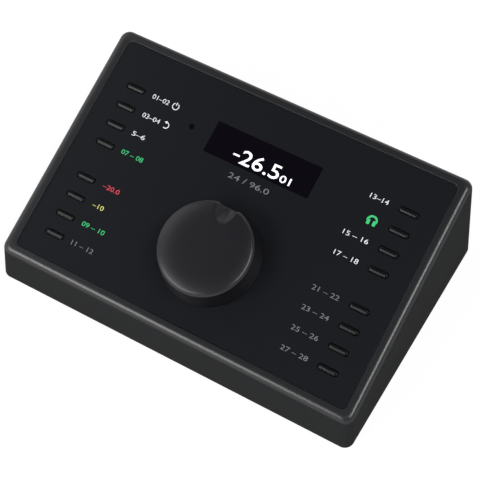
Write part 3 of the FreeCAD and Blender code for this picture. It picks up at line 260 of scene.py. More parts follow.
def rim_corner(inset):
    """The radius of the rim's line at a corner: it grows evenly from the recess's to the outer one's."""
    return RECESS_CORNER + (CORNER - RECESS_CORNER) * (RECESS.mean() - inset.mean()) / RECESS.mean()


def housing_rows():
    """The section of the casting, carried round it: ledge under the faceplate, recess wall, slope up to the
    crest (a quadratic curve rounds it over), the rim's outer arc, the wall, its foot, and back up inside."""
    ledge = np.full(4, LEDGE_INSET)
    lip = RECESS - LIP_EASE
    rows = [
        rim_row(ledge, ROOF_LOW, RECESS_CORNER),
        rim_row(ledge, SEAT, RECESS_CORNER),
        rim_row(RECESS, SEAT, RECESS_CORNER),
        rim_row(RECESS, FACE_TOP - LIP_EASE, RECESS_CORNER),
        rim_row(lip, FACE_TOP, RECESS_CORNER),
    ]
    crest = RECESS - SLOPE_RUN
    bend_from, bend_height = lip + (crest - lip) * SLOPE_STRAIGHT, FACE_TOP * (1 - SLOPE_STRAIGHT)
    for t in np.linspace(0, 1, 8):
        inset = bend_from * (1 - t) ** 2 + crest * 2 * t * (1 - t) + (crest - CREST_BEND) * t * t
        rows.append(rim_row(inset, bend_height * (1 - t) ** 2, rim_corner(inset)))
    arc_start = RIM_ROUND * np.tan(WALL_ANGLE / 2)
    for share in np.linspace(0, 1, 18):
        angle = WALL_ANGLE * share
        inset = arc_start - RIM_ROUND * np.sin(angle)
        rows.append(rim_row(inset, RIM_ROUND * (np.cos(angle) - 1), min(rim_corner(inset), CORNER)))
    brow = rows[-1]
    foot = base_row(BASE_Z + FOOT_ROUND, 0.0)
    for share in (0.02, 0.1, 0.25, 0.4, 0.55, 0.7, 0.85, 0.97, 1.0):
        rows.append(brow * (1 - share) + foot * share)
    for share in (0.33, 0.67, 1.0):
        angle = share * math.pi / 2
        rows.append(base_row(BASE_Z + FOOT_ROUND * (1 - math.sin(angle)), FOOT_ROUND * (1 - math.cos(angle))))
    thickness = np.array([WALL, WALL, REAR_WALL, WALL])
    rows.append(base_row(BASE_Z, thickness))
    drop = -ROOF_LOW
    inner = np.array([
        -drop * math.tan(TILT + FRONT_LEAN) + WALL / math.cos(TILT + FRONT_LEAN),
        -drop * math.tan(SIDE_DRAFT) + WALL / math.cos(SIDE_DRAFT),
        drop * math.tan(TILT) + REAR_WALL / math.cos(TILT),
        -drop * math.tan(SIDE_DRAFT) + WALL / math.cos(SIDE_DRAFT),
    ])
    rows.append(rim_row(inner, ROOF_LOW, CORNER - WALL))
    return np.stack(rows)


# the bay's left, low, right and high edge, and how far the cutting blocks reach past what they cut
BAY = (-93.0, 6.0, 93.0, 55.0)
BAY_DEPTH, BAY_LEDGE, BAY_CORNER = 4.2, 4.5, 2.0
PAST_REAR, PAST_INSIDE, PAST_LEDGE = 9, 3, 1


def box_corners(left, low, right, high):
    """The four corners of a rectangle, counterclockwise."""
    return [(left, low), (right, low), (right, high), (left, high)]


def rear_prism(name, box, near, far):
    """A closed solid over a rectangle in x and z with rounded corners, between two depths along y, all in
    millimetres. Its points are the outline at the near depth and again at the far one."""
    line = rounded_quad(box_corners(*box), BAY_CORNER, 6, (2, 2, 2, 2))
    count = len(line)
    points = np.concatenate([np.insert(line, 1, depth, axis=1) for depth in (near, far)]) / 1000
    start = np.arange(count)
    ahead = np.roll(start, -1)
    sides = np.column_stack([start, ahead, count + ahead, count + start]).tolist()
    mesh = bpy.data.meshes.new(name)
    mesh.from_pydata(points.tolist(), [], [*sides, start[::-1].tolist(), (count + start).tolist()])
    return clean(mesh)


def finished_mesh(holder):
    """The finished mesh of an object, modifiers and all. The object itself is deleted."""
    bpy.context.view_layer.update()
    mesh = bpy.data.meshes.new_from_object(holder.evaluated_get(bpy.context.evaluated_depsgraph_get()))
    bpy.data.objects.remove(holder)
    return mesh


def cut(mesh, tools):
    """Take the tools' solids out of a mesh, for good."""
    target = linked(mesh.name, mesh)
    helpers = [linked(tool.name, tool) for tool in tools]
    for helper in helpers:
        step = target.modifiers.new(helper.name, "BOOLEAN")
        step.operation = "DIFFERENCE"
        step.solver = "EXACT"
        step.object = helper
    result = finished_mesh(target)
    result.name = mesh.name
    for helper in helpers:
        bpy.data.objects.remove(helper)
    return result


black_coat = grained("black_powder_coat", (0.0060, 0.0068, 0.0086), 0.33, grain=0.45, tooth=0.0012,
                     mottle=0.1, gloss=0.36)
RIM_GLOSS, WALL_GLOSS, WALL_BITE = 0.72, 0.02, 0.53
# the walls' colour is painted light: it is lighter than the coat's to stand in for the light they catch from
# the floor and the lamps, while their gloss is turned down
PAINTED_WALL_LIGHT = (0.0285, 0.0292, 0.0302)
RIM_TO_WALL_DEPTHS = (0.9, 2.3)


def polish_rim_paint_wall_light(material):
    """The rim is rubbed smooth and the walls keep a duller gloss. Depth under the crest's plane drives a blend
    of colour, gloss and roughness, from the rim's at the first depth to the walls' at the second. The walls'
    lighter
    colour is painted light: it stands in for the light that the floor and the lamps throw on them."""
    tree = material.node_tree
    shader = tree.nodes["Principled BSDF"]
    coat_colour, coat_bite = (shader.inputs[key].links[0].from_socket for key in ("Base Color", "Roughness"))
    level = add_node(tree, "VectorMath", {
        0: tree.nodes["Texture Coordinate"].outputs["Object"],
        1: (0, -math.sin(TILT), math.cos(TILT)),
    }, "DOT_PRODUCT")
    crest = (RIM_Z * math.cos(TILT) - RIM_Y * math.sin(TILT)) / 1000
    wall = add_node(tree, "MapRange", {
        "Value": level.outputs["Value"],
        "From Min": crest - RIM_TO_WALL_DEPTHS[0] / 1000,
        "From Max": crest - RIM_TO_WALL_DEPTHS[1] / 1000,
    }).outputs["Result"]
    gloss = add_node(tree, "MapRange", {"Value": wall, "To Min": RIM_GLOSS, "To Max": WALL_GLOSS})
    bite = add_node(tree, "Math", {0: wall, 1: WALL_BITE, 2: coat_bite}, "MULTIPLY_ADD")
    # painted light: the walls get the lighter colour in place of the coat's own
    tone = add_node(tree, "Mix", {"Factor": wall, "A": coat_colour, "B": (*PAINTED_WALL_LIGHT, 1)}, colour=True)
    set_inputs(tree, shader, {
        "Specular IOR Level": gloss.outputs["Result"],
        "Roughness": bite.outputs["Value"],
        "Base Color": tone.outputs["Result"],
    })


polish_rim_paint_wall_light(black_coat)

bay_opening = np.add(BAY, (BAY_LEDGE, BAY_LEDGE, -BAY_LEDGE, -BAY_LEDGE))
housing_mesh = clean(grid_mesh("housing_shell", housing_rows(), ring=True))
bay_tools = [
    rear_prism("bay_cut", BAY, REAR_Y - BAY_DEPTH, REAR_Y + PAST_REAR),
    rear_prism("opening_cut", bay_opening, REAR_Y - REAR_WALL - PAST_INSIDE, REAR_Y - BAY_DEPTH + PAST_LEDGE),
]
housing_mesh = clean(cut(housing_mesh, bay_tools))
housing_mesh.name = "housing_shell"
add_piece(housing_mesh, black_coat, "base", ["top_housing"])

# ---------------------------------------------------------------- roof of the housing
# The casting's flat top, which carries the faceplate. It has a slot for each key and each light guide, the
# display's window and the holes for the sensor and the encoder.

KEY_X, KEY_LENGTH, KEY_WIDTH, KEY_GAP = 79.2, 10.4, 2.6, 0.9
FIRST_ROW, ROW_PITCH, GROUP_STEP, ROWS_IN_GROUP, ROWS = 106.1, 11.13, 9.23, 4, 8
KEY_ROWS = [FIRST_ROW - ROW_PITCH * i - (GROUP_STEP if i >= ROWS_IN_GROUP else 0) for i in range(ROWS)]
GUIDE_X, GUIDE_LENGTH, GUIDE_WIDTH, GUIDE_FIT = 61.5, 15.0, 3.0, 0.3
WINDOW_ROW, WINDOW_WIDTH, WINDOW_HEIGHT, WINDOW_LEDGE = 99.9, 60.6, 17.7, 1.5
SENSOR_X, SENSOR_ROW, SENSOR_RADIUS = -41.9, 100.0, 1.5
KNOB_ROW, BUSHING_HOLE = 44.3, 4.75
ROOF_BEVEL = 0.1


def block_line(x, y, width, height, radius=0.0, arc_steps=8):
    """A rectangle about a point, its corners rounded where a radius is given. Half its height makes a pill."""
    corners = box_corners(x - width / 2, y - height / 2, x + width / 2, y + height / 2)
    if not radius:
        return np.array(corners, float)
    line = rounded_quad(corners, radius, arc_steps, (1, 1, 1, 1))
    return line[np.linalg.norm(line - np.roll(line, 1, 0), axis=1) > 1e-6]


def circle_line(x, y, radius, steps=48):
    """Points evenly spaced round a circle."""
    angle = np.arange(steps) * 2 * math.pi / steps
    return np.column_stack([x + radius * np.cos(angle), y + radius * np.sin(angle)])


def key_slot(side, row, arc_steps=8):
    """The pill-shaped slot of one key, on the left or the right of the panel."""
    return block_line(side * KEY_X, row, KEY_LENGTH + KEY_GAP, KEY_WIDTH + KEY_GAP, (KEY_WIDTH + KEY_GAP) / 2,
                      arc_steps)


def mesh_points(mesh):
    """A mesh's points, one to a row."""
    points = np.empty(len(mesh.vertices) * 3)
    mesh.vertices.foreach_get("co", points)
    return points.reshape(-1, 3)


def pierced_plate(name, lines, low, high, bevel):
    """A flat plate from `low` to `high` whose outline is the first line and whose holes are the others. Its
    edges are rounded by `bevel`. It is filled flat in millimetres and only then put on the panel."""
    curve = bpy.data.curves.new(name, "CURVE")
    curve.dimensions = "2D"
    curve.fill_mode = "BOTH"
    curve.extrude = (high - low) / 2 - bevel
    curve.bevel_depth = bevel
    curve.bevel_resolution = 2
    curve.offset = -bevel
    for line in lines:
        spline = curve.splines.new("POLY")
        spline.points.add(len(line) - 1)
        flat = np.column_stack([line, np.zeros(len(line)), np.ones(len(line))])
        spline.points.foreach_set("co", flat.ravel())
        spline.use_cyclic_u = True
    mesh = finished_mesh(linked(name, curve))
    mesh.name = name
    points = mesh_points(mesh) + (0, 0, (high + low) / 2)
    mesh.vertices.foreach_set("co", on_panel(points).ravel())
    return clean(mesh, sharp=12.0)


roof_lines = [rounded_quad(
    box_corners(LEDGE_INSET - HALF_RIM, LEDGE_INSET, HALF_RIM - LEDGE_INSET, RIM_DEPTH - LEDGE_INSET),
    RECESS_CORNER, 6, (1, 1, 1, 1))]
for side in (-1, 1):
    for row in KEY_ROWS:
        roof_lines.append(key_slot(side, row))
        roof_lines.append(block_line(side * GUIDE_X, row, GUIDE_LENGTH + GUIDE_FIT, GUIDE_WIDTH + GUIDE_FIT))
roof_lines.append(
    block_line(0, WINDOW_ROW, WINDOW_WIDTH - 2 * WINDOW_LEDGE, WINDOW_HEIGHT - 2 * WINDOW_LEDGE))
roof_lines.append(circle_line(SENSOR_X, SENSOR_ROW, SENSOR_RADIUS))
roof_lines.append(circle_line(0, KNOB_ROW, BUSHING_HOLE))
roof = pierced_plate("housing_roof", roof_lines, ROOF_LOW, SEAT, ROOF_BEVEL)
add_piece(roof, black_coat, "base")

# ---------------------------------------------------------------- faceplate
# A 1 mm plate with a matt black printed film, laid in the recess of the rim. Slots for the keys, the window,
# the sensor and the encoder go through it.

black_film = grained("black_film", (0.0076, 0.0089, 0.0115), 0.32, grain=0.25, tooth=0.003, mottle=0.06,
                     patch=30, gloss=0.2)

FACE_FIT, FILM_BEVEL, WINDOW_CORNER = 0.1, 0.08, 0.3
edge = RECESS + FACE_FIT
face_lines = [rounded_quad(
    box_corners(edge[3] - HALF_RIM, edge[0], HALF_RIM - edge[1], RIM_DEPTH - edge[2]),
    RECESS_CORNER - FACE_FIT, 8, (1, 1, 1, 1))]
for side in (-1, 1):
    for row in KEY_ROWS:
        face_lines.append(key_slot(side, row, 12))
face_lines.append(block_line(0, WINDOW_ROW, WINDOW_WIDTH, WINDOW_HEIGHT, WINDOW_CORNER, 4))
face_lines.append(circle_line(SENSOR_X, SENSOR_ROW, SENSOR_RADIUS))
face_lines.append(circle_line(0, KNOB_ROW, BUSHING_HOLE))
face = pierced_plate("panel_film", face_lines, SEAT, FACE_TOP, FILM_BEVEL)
add_piece(face, black_film, "base", ["faceplate"])

# ---------------------------------------------------------------- legends
# The marks beside the keys and under the display are printed through the film: plain numbers, a power mark, a
# return arrow and a pair of headphones. Those in use are lit from behind by light guides; the rest are grey.

INK_LOW, INK_TOP = FACE_TOP, FACE_TOP + 0.025
CAP_HEIGHT, MARK_WIDTH = 2.55, 0.5
LEFT_LEGENDS, RIGHT_LEGENDS, GROUP_LEGENDS = -68.9, 68.1, 53.3
LEGEND_LIFT = 0.15
STATUS_ROW, STATUS_HEIGHT = WINDOW_ROW - 14.4, 3.0


def lettering(text, left, right, middle, height, weight=0.0, low=INK_LOW, top=INK_TOP):
    """Points and faces of a line of numbers: the figures' outlines filled and thickened, then stretched to
    lie between `left` and `right`, `height` tall about the line y = middle."""
    curve = bpy.data.curves.new(text, "FONT")
    curve.body = text
    curve.resolution_u = 3
    curve.extrude = 0.5
    curve.offset = weight
    mesh = finished_mesh(linked(text, curve))
    points = mesh_points(mesh)
    near, far = points.min(0), points.max(0)
    share = (points - near) / (far - near)
    box_low = np.array([left, middle - height / 2, low])
    box_high = np.array([right, middle + height / 2, top])
    faces = [tuple(face.vertices) for face in mesh.polygons]
    bpy.data.meshes.remove(mesh)
    return box_low + share * (box_high - box_low), faces


def stroke(path, width, low=INK_LOW, top=INK_TOP):
    """Points and faces of a flat band along a line: each point is moved half the width to either side, square
    to the line there, at both heights; the four lines are joined round, and the two ends are closed."""
    path = np.asarray(path, float)
    ahead = np.gradient(path, axis=0)
    ahead /= np.linalg.norm(ahead, axis=1)[:, None]
    side = np.column_stack([-ahead[:, 1], ahead[:, 0]]) * np.broadcast_to(width, len(path))[:, None] / 2
    lines = [np.column_stack([path + turn * side, np.full(len(path), height)])
             for turn, height in ((1, low), (-1, low), (-1, top), (1, top))]
    count = len(path)
    start = np.arange(count - 1)
    faces = []
    for k in range(4):
        a, b = k * count + start, (k + 1) % 4 * count + start
        faces += np.column_stack([a, a + 1, b + 1, b]).tolist()
    faces += [[0, count, 2 * count, 3 * count], [count - 1, 4 * count - 1, 3 * count - 1, 2 * count - 1]]
    return np.concatenate(lines), faces


def arc_path(x, y, radius, start, end, steps):
    """Points evenly spaced along an arc from one angle to another, in degrees."""
    angle = np.radians(np.linspace(start, end, steps + 1))
    return np.column_stack([x + radius * np.cos(angle), y + radius * np.sin(angle)])


def printed(name, shapes, ink):
    """One piece of ink from several shapes in the panel's frame."""
    points, faces, total = [], [], 0
    for some_points, some_faces in shapes:
        points.append(some_points)
        faces += [[int(i) + total for i in face] for face in some_faces]
        total += len(some_points)
    mesh = bpy.data.meshes.new(name)
    mesh.from_pydata(on_panel(np.concatenate(points)).tolist(), [], faces)
    return add_piece(clean(mesh, sharp=12.0, join=1e-8), ink, "base")


def lit_ink(name, colour, glow):
    """Translucent ink with an even light behind it. Its own colour drifts a little from patch to patch."""
    ink = grained(name, colour, 0.5, grain=0.3, tooth=0.001, mottle=0.06, patch=5)
    shader = ink.node_tree.nodes["Principled BSDF"]
    shader.inputs["Emission Color"].default_value = (*colour, 1)
    shader.inputs["Emission Strength"].default_value = glow
    return ink


white_ink = lit_ink("white_ink", (0.62, 0.64, 0.67), 0.4)
green_ink = lit_ink("green_ink", (0.03, 0.42, 0.14), 0.5)
red_ink = lit_ink("red_ink", (0.55, 0.05, 0.08), 0.45)
yellow_ink = lit_ink("yellow_ink", (0.55, 0.57, 0.15), 0.4)
grey_ink = lit_ink("grey_ink", (0.17, 0.175, 0.18), 0.1)

legend_row = [row + LEGEND_LIFT for row in KEY_ROWS]
power_x, power_row, power_radius = -54.9, legend_row[0] - 0.1, 1.75
arrow_x, arrow_row, arrow_radius = -54.7, legend_row[1] - 0.2, 1.6
white_marks = [
    lettering("01\u201302", LEFT_LEGENDS, -58.9, legend_row[0], CAP_HEIGHT),
    stroke(arc_path(power_x, power_row, power_radius, 122, 418, 40), MARK_WIDTH),
    stroke([(power_x, power_row + 0.6), (power_x, power_row + 2.2)], MARK_WIDTH),
    lettering("03\u201304", LEFT_LEGENDS, -58.5, legend_row[1], CAP_HEIGHT),
    stroke(arc_path(arrow_x, arrow_row, arrow_radius, -120, 88, 30), MARK_WIDTH),
    stroke([(arrow_x, arrow_row + 1.6), (arrow_x - 1.5, arrow_row + 1.6)], [1.7, 0.05]),
    lettering("5\u20136", LEFT_LEGENDS, -61.3, legend_row[2], CAP_HEIGHT),
    lettering("13\u201314", 58.0, RIGHT_LEGENDS, legend_row[0], CAP_HEIGHT),
    lettering("15 \u2013 16", 54.2, RIGHT_LEGENDS, legend_row[2], CAP_HEIGHT),
    lettering("17 \u2013 18", 54.9, RIGHT_LEGENDS, legend_row[3], CAP_HEIGHT),
]
printed("white_legends", white_marks, white_ink)

phones_x, phones_row, band_radius, band_width = 64.7, legend_row[1] - 0.5, 2.35, 1.05
cup_reach, cup_levels, cup_widths = 1.6, (-2.4, -2.1, 0.0, 0.3), (0.9, 1.7, 1.7, 0.9)
green_marks = [
    lettering("07 \u2013 08", LEFT_LEGENDS - 0.3, -56.3, legend_row[3], CAP_HEIGHT),
    lettering("09 \u2013 10", LEFT_LEGENDS, -55.5, legend_row[6], CAP_HEIGHT),
    stroke(arc_path(phones_x, phones_row, band_radius, -14, 194, 32), band_width),
]
for side in (-1, 1):
    cup = [(phones_x + side * cup_reach, phones_row + level) for level in cup_levels]
    green_marks.append(stroke(cup, cup_widths))
printed("green_legends", green_marks, green_ink)
printed("red_legend", [lettering("\u201320.0", LEFT_LEGENDS, -59.1, legend_row[4], CAP_HEIGHT)], red_ink)
printed("yellow_legend", [lettering("\u201310", LEFT_LEGENDS, -62.3, legend_row[5], CAP_HEIGHT)], yellow_ink)

grey_marks = [lettering("11 \u2013 12", LEFT_LEGENDS, -56.0, legend_row[7], CAP_HEIGHT),
              lettering("24 / 96.0", -12.0, 11.2, STATUS_ROW, STATUS_HEIGHT)]
for number, row in enumerate(legend_row[ROWS_IN_GROUP:]):
    numbers = f"2{2 * number + 1} \u2013 2{2 * number + 2}"
    grey_marks.append(lettering(numbers, GROUP_LEGENDS, RIGHT_LEGENDS, row, CAP_HEIGHT))
printed("grey_legends", grey_marks, grey_ink)

# ---------------------------------------------------------------- display
# A smoked acrylic lens lies in the film's window, a hair below its face. The white figures of the display
# behind it glow through it.

LENS_TOP = FACE_TOP - 0.1
FIGURE_LEVELS = {"low": LENS_TOP, "top": LENS_TOP + 0.02}
SIGN_ROW, BIG_ROW, SMALL_ROW = WINDOW_ROW - 3.6, WINDOW_ROW - 3.2, WINDOW_ROW - 5.05
figure_light = lit_ink("figure_light", (0.88, 0.90, 0.95), 0.6)
figures = [
    stroke([(-15.0, SIGN_ROW), (-11.5, SIGN_ROW)], 0.95, **FIGURE_LEVELS),
    lettering("26.5", -10.6, 11.7, BIG_ROW, 7.9, 0.006, **FIGURE_LEVELS),
    lettering("01", 12.7, 18.8, SMALL_ROW, 4.0, 0.012, **FIGURE_LEVELS),
]
printed("display_figures", figures, figure_light)

# ---------------------------------------------------------------- keys
# Sixteen keys moulded in black plastic, one bar with round ends each. A flange under the roof holds each cap
# in its slot, and its crown is highest a little behind the middle.

KEY_TOP, KEY_EDGE, KEY_CROWN, CREST_BACK = -0.1, 0.25, 0.55, 0.5
FLANGE_TOP, FLANGE_LOW, FLANGE_OUT, FLANGE_RING = -4.2, -5.0, 1.0, 0.2
ALMOST_SHARP = 1e-5
key_plastic = grained("key_plastic", (0.0038, 0.004, 0.005), 0.2, grain=0.3, tooth=0.001, mottle=0.08,
                      gloss=0.2)


def key_grid(x, y):
    """Lines round a pill, from the flange's underside up its sides, over a quarter-circle edge and on to the
    crest: each line is the outline moved in, at a height. The crown falls from its crest as a parabola, and
    the crest lies behind the middle, so each line of the crown is moved back as well. The flange's hidden
    underside is a ring, open along its middle."""
    half, shoulder = KEY_WIDTH / 2, KEY_TOP - KEY_CROWN
    rise = np.linspace(0, math.pi / 2, 8)[1:]
    crown = np.linspace(KEY_EDGE, half - 1e-4, 9)[1:]
    insets = np.concatenate([
        [half - FLANGE_RING, -FLANGE_OUT, -FLANGE_OUT, 0.0, 0.0],
        KEY_EDGE * (1 - np.cos(rise)),
        crown,
    ])
    heights = np.concatenate([
        [FLANGE_LOW, FLANGE_LOW, FLANGE_TOP, FLANGE_TOP, shoulder - KEY_EDGE],
        shoulder - KEY_EDGE * (1 - np.sin(rise)),
        KEY_TOP - KEY_CROWN * ((half - crown) / (half - KEY_EDGE)) ** 2,
    ])
    backs = np.where(heights > shoulder, CREST_BACK * (insets - KEY_EDGE) / (half - KEY_EDGE), 0)
    rows = []
    for inset, height, back in zip(insets, heights, backs):
        corners = box_corners(x - KEY_LENGTH / 2 + inset, y + back - half + inset,
                              x + KEY_LENGTH / 2 - inset, y + back + half - inset)
        line = rounded_quad(corners, half - inset - ALMOST_SHARP, 12, (12, 1, 12, 1))
        rows.append(np.column_stack([line, np.full(len(line), height)]))
    return np.stack(rows)


for name, side in (("left", -1), ("right", 1)):
    for number, row in enumerate(KEY_ROWS, start=1):
        node = f"key_{name}_{number}"
        cap = clean(grid_mesh(f"{node}_cap", on_panel(key_grid(side * KEY_X, row)[::-1])))
        add_piece(cap, key_plastic, node, [node])

# ---------------------------------------------------------------- knob
# The big knob: a thick cap in soft-touch rubber over a metal hub on the encoder's shaft. The finger dimple at
# its far edge runs out through the side.

KNOB_BASE, KNOB_TOP = FACE_TOP + 0.5, FACE_TOP + 15.9
KNOB_LOW_RADIUS, KNOB_HIGH_RADIUS, KNOB_EDGE = 26.7, 24.6, 2.4
KNOB_WALL, KNOB_CROWN, KNOB_LIP, LIP_BEVEL = 2.2, 3.2, 0.35, 0.1
SHOULDER = math.radians(13.5)
DOME_POWER, DOME_RISE = 5, 0.5
DIMPLE_SIDE, DIMPLE_REACH, DIMPLE_WIDTH, DIMPLE_LENGTH, DIMPLE_DEPTH = 0.7, 30.0, 6.3, 15.4, 4.4
DIMPLE_BLEND, DENT = 0.6, 2.6
ROUND_STEPS, TOP_STEPS, EDGE_STEPS = 320, 72, 14
knob_rubber = grained("knob_rubber", (0.0092, 0.0080, 0.0112), 0.31, grain=0.2, tooth=0.003, mottle=0.06,
                      patch=14)


def knob_grid():
    """A profile turned round the axis: inside wall, lower lip, tapering side, an arc over the edge up to the
    shoulder's slope, and a top that falls from its middle by the fifth power of the radius to that slope. The
    dimple presses the side in by a parabola across it, times the square of the height and the eighth power of
    the radius. The top is then the soft minimum of itself and a bowl, a parabola across and one along."""
    taper = math.atan2(KNOB_LOW_RADIUS - KNOB_HIGH_RADIUS, KNOB_TOP - KNOB_BASE)
    ceiling = KNOB_TOP - KNOB_CROWN
    centre_r = (KNOB_HIGH_RADIUS + KNOB_EDGE * (1 - math.sin(taper)) * math.tan(taper)
                - KNOB_EDGE / math.cos(taper))
    shoulder_r = centre_r + KNOB_EDGE * math.sin(SHOULDER)
    dome = shoulder_r * math.tan(SHOULDER) / DOME_POWER
    shoulder_z = KNOB_TOP + DOME_RISE - dome
    centre_z = shoulder_z - KNOB_EDGE * math.cos(SHOULDER)
    skirt = [
        (0.0, ceiling),
        (KNOB_HIGH_RADIUS - KNOB_WALL, ceiling),
        (KNOB_LOW_RADIUS - KNOB_WALL, KNOB_BASE),
        (KNOB_LOW_RADIUS - KNOB_LIP, KNOB_BASE),
        (KNOB_LOW_RADIUS - LIP_BEVEL, KNOB_BASE + LIP_BEVEL),
        (KNOB_LOW_RADIUS, KNOB_BASE + KNOB_LIP),
    ]
    share = np.array([0.1, 0.3, 0.5, 0.6, 0.68, 0.76, 0.84, 0.92, 0.98])[:, None]
    foot = np.array(skirt[-1])
    brow = np.array([centre_r + KNOB_EDGE * math.cos(taper), centre_z + KNOB_EDGE * math.sin(taper)])
    arc = np.linspace(taper, math.pi / 2 - SHOULDER, EDGE_STEPS)
    top = np.linspace(shoulder_r, 0, TOP_STEPS)[1:]
    radius, height = np.concatenate([
        skirt,
        foot + (brow - foot) * share,
        np.column_stack([centre_r + KNOB_EDGE * np.cos(arc), centre_z + KNOB_EDGE * np.sin(arc)]),
        np.column_stack([top, shoulder_z + dome * (1 - (top / shoulder_r) ** DOME_POWER)]),
    ]).T
    radius = radius[:, None]
    angle = np.arange(ROUND_STEPS) * 2 * math.pi / ROUND_STEPS
    x, y = radius * np.cos(angle), radius * np.sin(angle)
    z = np.repeat(height[:, None], ROUND_STEPS, 1)
    pressed = (np.arange(len(radius))[:, None] > len(skirt)) & (y > 0)
    across = ((x - DIMPLE_SIDE) / DIMPLE_WIDTH) ** 2
    rise = np.clip((z - KNOB_BASE) / (KNOB_TOP - KNOB_BASE), 0, 1)
    dent = DENT * np.clip(1 - across, 0, None) * rise ** 2 * (radius / KNOB_HIGH_RADIUS) ** 8
    y = np.where(pressed, y - dent, y)
    bowl = KNOB_TOP - DIMPLE_DEPTH * (1 - across - ((y - DIMPLE_REACH) / DIMPLE_LENGTH) ** 2)
    mix = np.clip(0.5 + (z - bowl) / (2 * DIMPLE_BLEND), 0, 1)
    soft = z * (1 - mix) + bowl * mix - DIMPLE_BLEND * mix * (1 - mix)
    return np.stack([x, y + KNOB_ROW, np.where(pressed, soft, z)], -1)


knob = clean(grid_mesh("knob_shell", on_panel(knob_grid())))
add_piece(knob, knob_rubber, "knob", ["knob_cap"])

# ---------------------------------------------------------------- finishes of the solid pieces
# Sockets, sheet metal, boards and screws keep their built shapes. Each gets the finish that it is made in:
# plated or blackened steel, brass, moulded plastic, acrylic, rubber, film, or the solder mask of a board.

green_mask = grained("green_solder_mask", (0.02, 0.12, 0.06), 0.35, grain=0.8, tooth=0.004)
plated = grained("plated_steel", (0.6, 0.6, 0.61), 0.3, grain=0.3, tooth=0.003, mottle=0.05, metal=1.0)
brass = grained("machined_brass", (0.72, 0.58, 0.32), 0.3, grain=0.3, tooth=0.003, metal=1.0)
black_mould = grained("black_moulding", (0.03, 0.03, 0.032), 0.45, grain=0.3, tooth=0.006)
foot_rubber = grained("foot_rubber", (0.02, 0.02, 0.02), 0.75, grain=0.3, tooth=0.02)
black_sheet = grained("black_sheet_steel", (0.022, 0.022, 0.024), 0.5, grain=0.35, tooth=0.012)
amber_film = grained("amber_film", (0.75, 0.4, 0.12), 0.35)
milky = grained("milky_acrylic", (0.8, 0.82, 0.84), 0.3)
lens_black = grained("smoked_lens", (0.0030, 0.0022, 0.0048), 0.16, grain=2.0, tooth=0.0004, gloss=0.16)
sleeve = grained("blue_sleeve", (0.05, 0.07, 0.14), 0.35)
relay_case = grained("relay_case", (0.75, 0.72, 0.6), 0.4)
black_oxide = grained("black_oxide", (0.05, 0.05, 0.055), 0.35, metal=0.6)

FINISHES = {
    "display_window": lens_black, "display_glass": lens_black, "sensor_lens": lens_black,
    "display_board": green_mask, "key_board": green_mask, "main_board": green_mask,
    "display_ribbon": amber_film, "board_ribbon": amber_film,
    "sensor_cell": black_mould, "key_switches": black_mould, "light_guides": milky,
    "indicator_lamps": relay_case,
    "knob_hub": brass, "encoder_shaft": plated, "encoder_body": black_mould, "encoder_bushing": brass,
    "encoder_washer": plated, "encoder_nut": brass, "bottom_cover": black_sheet, "rear_panel": black_sheet,
    "standoffs": brass, "processor_shield": plated, "capacitors": sleeve, "audio_relays": relay_case,
    "line_input_left": black_mould, "line_input_right": black_mould, "network_socket_left": plated,
    "network_socket_right": plated, "usb_socket": plated, "power_inlet": black_mould,
    "headphone_jack": black_mould, "headphone_nut": plated, "key_board_screws": plated,
    "main_board_screws": plated, "cover_screws": black_oxide, "rear_panel_screws": black_oxide,
    "foot_front_left": foot_rubber, "foot_front_right": foot_rubber, "foot_rear_left": foot_rubber,
    "foot_rear_right": foot_rubber,
}
for node, finish in FINISHES.items():
    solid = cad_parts[node]
    solid.data.materials.clear()
    solid.data.materials.append(finish)

# ---------------------------------------------------------------- network sockets
# Inside each network socket's metal shell sits a black moulded liner with eight sprung gold contacts, which
# lean down from its back towards the mouth.

MOUTH_WIDTH, MOUTH_HEIGHT, MOUTH_DEPTH, MOUTH_FLOOR = 11.8, 8.0, 12.5, 2.5
LINER, LINER_FIT, LINER_ROUND, LINER_BACK = 0.4, 0.05, 0.3, 0.3
CONTACTS, CONTACT_PITCH, CONTACT_WIDTH, CONTACT_THICK = 8, 1.02, 0.46, 0.2
# how far a contact's bends lie from the mouth's back, and how far below its ceiling
CONTACT_BENDS = ((0.0, 0.3), (2.6, 0.5), (5.6, 1.6), (8.6, 2.7), (9.2, 2.6), (9.5, 2.1))
gold = grained("gold_contacts", (0.62, 0.42, 0.13), 0.25, grain=0.3, tooth=0.0005, mottle=0.05, metal=1.0)


def mouth_line(x, floor_level, y, inset):
    """A line round a mouth, square to the y axis: a rectangle with rounded corners, `inset` inside it."""
    left, low = x - MOUTH_WIDTH / 2 + inset, floor_level + inset
    corners = box_corners(left, low, left + MOUTH_WIDTH - 2 * inset, low + MOUTH_HEIGHT - 2 * inset)
    return np.insert(rounded_quad(corners, LINER_ROUND, 4, (2, 2, 2, 2)), 1, y, axis=1)


def bent_strips(name, middles, path, width, thickness):
    """Flat strips side by side, each a path in y and z given a width across x and a thickness in z. Every
    point of the path becomes the four corners of a section; the sections are joined round and closed."""
    corners = np.array([(-1, -1), (1, -1), (1, 1), (-1, 1)]) / 2
    points = np.empty((len(middles), len(path), 4, 3))
    points[..., 0] = np.asarray(middles)[:, None, None] + width * corners[:, 0]
    points[..., 1] = path[:, 0, None]
    points[..., 2] = path[:, 1, None] + thickness * corners[:, 1]
    index = np.arange(points.size // 3).reshape(points.shape[:3])
    near, far = index[:, :-1], index[:, 1:]
    sides = np.stack([near, np.roll(near, -1, 2), np.roll(far, -1, 2), far], -1).reshape(-1, 4)
    faces = np.concatenate([sides, index[:, 0, ::-1], index[:, -1]])
    mesh = bpy.data.meshes.new(name)
    mesh.from_pydata((points.reshape(-1, 3) / 1000).tolist(), [], faces.tolist())
    return clean(mesh)


